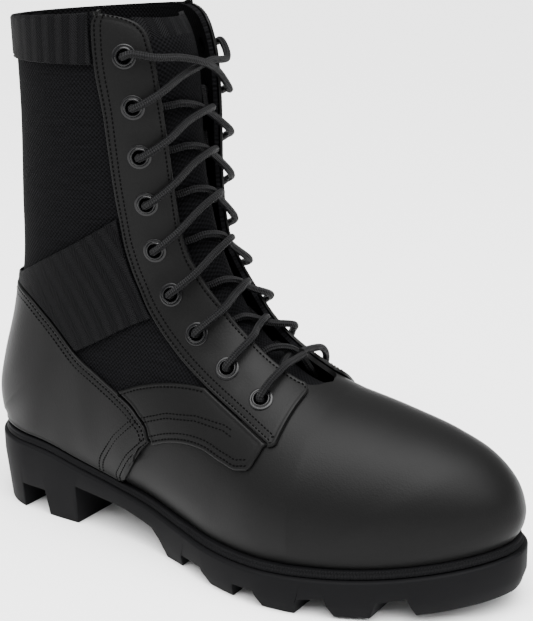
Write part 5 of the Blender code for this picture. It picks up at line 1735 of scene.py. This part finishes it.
def make_tongue():
    """The canvas tongue under the lace, with webbing over its top edge."""
    half_width = smooth(TONGUE_ROWS, 1, BALL_WIDTH)
    drop = smooth(TONGUE_ROWS, 2, TONGUE_DROP)
    columns = TONGUE_COLUMNS
    steps = np.concatenate((np.linspace(1.02, 1.4, 24), np.linspace(1.4, 6.38, 170)[1:]))
    rows = []
    for step in steps:
        row = []
        for side in (OUTER, INNER):
            points, length = line_of(step, side)
            out = side * (points[:, 1] - float(centre_y(step)))
            reach = float(length[np.nonzero(out >= float(half_width(step)))[0][-1]])
            whole = full_run(step, side)
            runs = np.linspace(reach, whole, columns + 1)
            half = [point_at(step, side, run)
                    - normal_at(step, side, min(run, whole - RIDGE_GAP)) * float(drop(step)) for run in runs]
            half[-1][1] = float(centre_y(step))
            row.append(half)
        middle = (row[0][-1] + row[1][-1]) / 2
        rows.append(row[0][:-1] + [middle] + row[1][-2::-1])
    points = np.array(rows)
    for _ in range(3):
        points[1:-1] = (points[:-2] + 2 * points[1:-1] + points[2:]) / 4
        points[:, 1:-1] = (points[:, :-2] + 2 * points[:, 1:-1] + points[:, 2:]) / 4
    up = run_along(points[:, columns])
    cloth = np.stack(np.broadcast_arrays(points[..., 1], up[:, None]), axis=2)
    piece = grid_of("laced_tongue", points, cloth)
    set_materials(piece, "canvas", "webbing")
    taped = np.repeat(up[:-1] > up[-1] - TONGUE_TAPE, 2 * columns)
    piece.data.polygons.foreach_set("material_index", taped.astype(np.int32))
    modify(piece, "SOLIDIFY", thickness=TONGUE_WALL, offset=-1.0, use_rim=True)
    smooth_shaded(piece, 50.0)
    return stands_for(piece, "canvas", "tongue")


class BOOT_OT_sole(bpy.types.Operator):
    """Model the outsole and the welt, and finish the insole"""
    bl_idname = "boot.sole"
    bl_label = "Sole"

    def execute(self, context):
        make_outsole()
        make_welt()
        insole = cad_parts["insole"]
        insole.data.materials.clear()
        insole.data.materials.append(finish("felt"))
        return {"FINISHED"}


class BOOT_OT_upper(bpy.types.Operator):
    """Model the upper with its eyelet holes and both eyestays"""
    bl_idname = "boot.upper"
    bl_label = "Upper and eyestays"

    def execute(self, context):
        places = {side: eyelet_places(side) for side in (OUTER, INNER)}
        upper = make_upper()
        stays = [make_stay(side, places[side]) for side in (OUTER, INNER)]
        punches = holes_cutter(places[OUTER] + places[INNER])
        for piece in (upper, *stays):
            punch(piece, punches)
            smooth_shaded(piece, 50.0)
        bpy.data.objects.remove(punches, do_unlink=True)
        stands_for(upper, "leather", "upper")
        for stay, node in zip(stays, ("eyestay_outer", "eyestay_inner")):
            set_materials(stay, "leather")
            stands_for(stay, "leather", node)
        return {"FINISHED"}


class BOOT_OT_panels(bpy.types.Operator):
    """Model the heel counter, the ankle web, the collar tape and the instep patches"""
    bl_idname = "boot.panels"
    bl_label = "Panels"

    def execute(self, context):
        panel("heel_stiffener_cover", "heel_counter", "leather", counter_corners(), LEATHER_EDGE, 34,
              wave=waves_of(0.050, 0.22 * MM, (1.6, 1.0, 0.5)))
        panel("slanting_ankle_web", "ankle_web", "webbing", web_corners(), WEB_EDGE, 26, slope=WEB_SLOPE)
        panel("collar_binding_tape", "collar_tape", "webbing", collar_corners(), WEB_EDGE, 30)
        for side, word in SIDES:
            panel("instep_leather_" + word, "instep_patch_" + word, "leather", patch_corners(), LEATHER_EDGE,
                  16, sides=(side,))
        return {"FINISHED"}


class BOOT_OT_eyelets(bpy.types.Operator):
    """Model one rolled eyelet and set a copy of it in each hole"""
    bl_idname = "boot.eyelets"
    bl_label = "Eyelets"

    def execute(self, context):
        shape = make_eyelet_shape()
        smooth_shaded(shape, 45.0)
        for side, word in SIDES:
            for i, (point, out, _) in enumerate(eyelet_places(side)):
                copy = bpy.data.objects.new("rolled_eyelet_%s_%d" % (word, i + 1), shape.data.copy())
                bpy.context.scene.collection.objects.link(copy)
                copy.data.transform(frame_at(point, out))
                set_materials(copy, "enamel")
                stands_for(copy, "eyelet_enamel", "eyelet_%s_%d" % (word, i + 1))
        bpy.data.objects.remove(shape, do_unlink=True)
        return {"FINISHED"}


class BOOT_OT_lace(bpy.types.Operator):
    """Model the tongue and the braided lace over it"""
    bl_idname = "boot.lace"
    bl_label = "Tongue and lace"

    def execute(self, context):
        make_tongue()
        places = {side: eyelet_places(side) for side in (OUTER, INNER)}
        pitch = context.scene.boot_sizes.braid_pitch
        ends = [tube_of("lace_end", route, LACE_DIAMETER / 2, pitch)
                for route in lace_routes(places)]
        lace = join("braided_lace", ends)
        smooth_shaded(lace, 70.0)
        set_materials(lace, "cord")
        stands_for(lace, "lace_cord", "lace")
        return {"FINISHED"}


class BOOT_OT_stitching(bpy.types.Operator):
    """Model the rows of stitches on the eyestays, the counter and the patches"""
    bl_idname = "boot.stitching"
    bl_label = "Stitching"

    def execute(self, context):
        shape = stitch_shape()
        first, last = (along_to_x(share) for share in COUNTER_SEAM_SPAN)
        ways = 1 - (1 - np.linspace(0, 1, 240)) ** 2  # closer together towards the heel
        counter_line = [(x, float(counter_edge(x))) for x in last - (last - first) * ways]
        tail = np.array([(along_to_x(along), height * BOOT_HEIGHT) for along, height in TAIL])
        tail_line = placed(np.linspace(0, len(tail) - 1, 60), range(len(tail)), tail)
        row_x, row_z = zip(*PATCH_ROW)
        lines = (
            (counter_line, COUNTER_SEAMS),
            (tail_line, TAIL_SEAMS),
            (edge_line(patch_top, *(along_to_x(share) for share in PATCH_HIGH_SPAN)), PATCH_HIGH_SEAMS),
            ([(x, float(np.interp(x, row_x, row_z))) for x in np.linspace(row_x[0], row_x[-1], 120)],
             PATCH_ROW_SEAMS),
            (edge_line(patch_low, *(along_to_x(share) for share in PATCH_LOW_SPAN)), PATCH_LOW_SEAMS),
        )
        for side, word in SIDES:
            seams = [stay_seam(side, from_rear=gap) for gap in STAY_REAR_SEAMS]
            seams.append(stay_seam(side, from_throat=STAY_THROAT_SEAM))
            seams += [side_view_seam(line, side, gap) for line, gaps in lines for gap in gaps]
            make_stitches("stitching_" + word, seams, shape)
        return {"FINISHED"}


class BOOT_OT_stage(bpy.types.Operator):
    """Make the floor, the soft studio light and the camera"""
    bl_idname = "boot.stage"
    bl_label = "Stage"

    def execute(self, context):
        clear_selection()
        bpy.ops.mesh.primitive_plane_add(size=30.0, location=(0.0, 0.0, 0.0))
        floor = bpy.context.object
        floor.name = "studio_floor"
        floor.data.materials.append(finish("paper"))
        world = bpy.data.worlds.new("studio_light")
        context.scene.world = world
        world.use_nodes = True
        sky = world.node_tree.nodes["Background"]
        sky.inputs["Color"].default_value = (1.0, 1.0, 1.0, 1.0)
        sky.inputs["Strength"].default_value = 0.9
        clear_selection()
        bpy.ops.object.light_add(type="SUN", location=(0.0, 0.0, 2.0),
                                 rotation=(math.radians(14), math.radians(10), 0))
        sun = bpy.context.object
        sun.name = "ceiling_light"
        sun.data.energy = 9.0
        sun.data.angle = math.radians(70)
        lights = (  # name, place, size, power
            ("overhead_box", (0.30, -0.25, 1.20), 0.7, 14.0),
            ("front_box", (1.30, -0.35, 1.00), 0.7, 9.0),
            ("side_box", (-0.50, -1.20, 0.90), 0.7, 5.0),
        )
        for name, place, size, power in lights:
            clear_selection()
            bpy.ops.object.light_add(type="AREA", location=place)
            light = bpy.context.object
            light.name = name
            light.data.energy = power
            light.data.size = size
            light.rotation_mode = "QUATERNION"
            light.rotation_quaternion = (Vector(place) - CAMERA_TARGET).to_track_quat("Z", "Y")
        make_camera(context)
        return {"FINISHED"}


def make_camera(context):
    azimuth, elevation, roll = (math.radians(turn) for turn in CAMERA_TURNS)
    back = Vector((math.sin(azimuth) * math.cos(elevation), -math.cos(azimuth) * math.cos(elevation),
                   math.sin(elevation)))
    right = Vector((math.cos(azimuth), math.sin(azimuth), 0.0))
    up = back.cross(right)
    across = math.cos(roll) * right + math.sin(roll) * up
    over = -math.sin(roll) * right + math.cos(roll) * up
    clear_selection()
    bpy.ops.object.camera_add(location=CAMERA_TARGET + back * CAMERA_DISTANCE)
    camera = bpy.context.object
    camera.name = "photo_camera"
    camera.rotation_mode = "QUATERNION"
    camera.rotation_quaternion = Matrix((across, over, back)).transposed().to_quaternion()
    camera.data.lens = CAMERA_LENS
    camera.data.sensor_width = 36.0
    camera.data.sensor_fit = "AUTO"
    context.scene.camera = camera


class BOOT_PT_panel(bpy.types.Panel):
    """The boot's pieces, sizes and colours in the sidebar"""
    bl_idname = "BOOT_PT_panel"
    bl_label = "Jungle boot"
    bl_space_type = "VIEW_3D"
    bl_region_type = "UI"
    bl_category = "Boot"

    def draw(self, context):
        for piece in PIECES:
            self.layout.operator(piece.bl_idname)
        for group in (context.scene.boot_sizes, context.scene.boot_colours):
            for name in group.__annotations__:
                self.layout.prop(group, name)


PIECES = (BOOT_OT_sole, BOOT_OT_upper, BOOT_OT_panels, BOOT_OT_eyelets, BOOT_OT_lace, BOOT_OT_stitching,
          BOOT_OT_stage)
CLASSES = (BootSizes, BootColours, *PIECES, BOOT_PT_panel)


def register():
    for cls in CLASSES:
        bpy.utils.register_class(cls)
    bpy.types.Scene.boot_sizes = bpy.props.PointerProperty(type=BootSizes)
    bpy.types.Scene.boot_colours = bpy.props.PointerProperty(type=BootColours)


def unregister():
    del bpy.types.Scene.boot_colours
    del bpy.types.Scene.boot_sizes
    for cls in reversed(CLASSES):
        bpy.utils.unregister_class(cls)


def main():
    register()
    bpy.ops.boot.sole()
    bpy.ops.boot.upper()
    bpy.ops.boot.panels()
    bpy.ops.boot.eyelets()
    bpy.ops.boot.lace()
    bpy.ops.boot.stitching()
    bpy.ops.boot.stage()


if __name__ == "__main__":
    main()
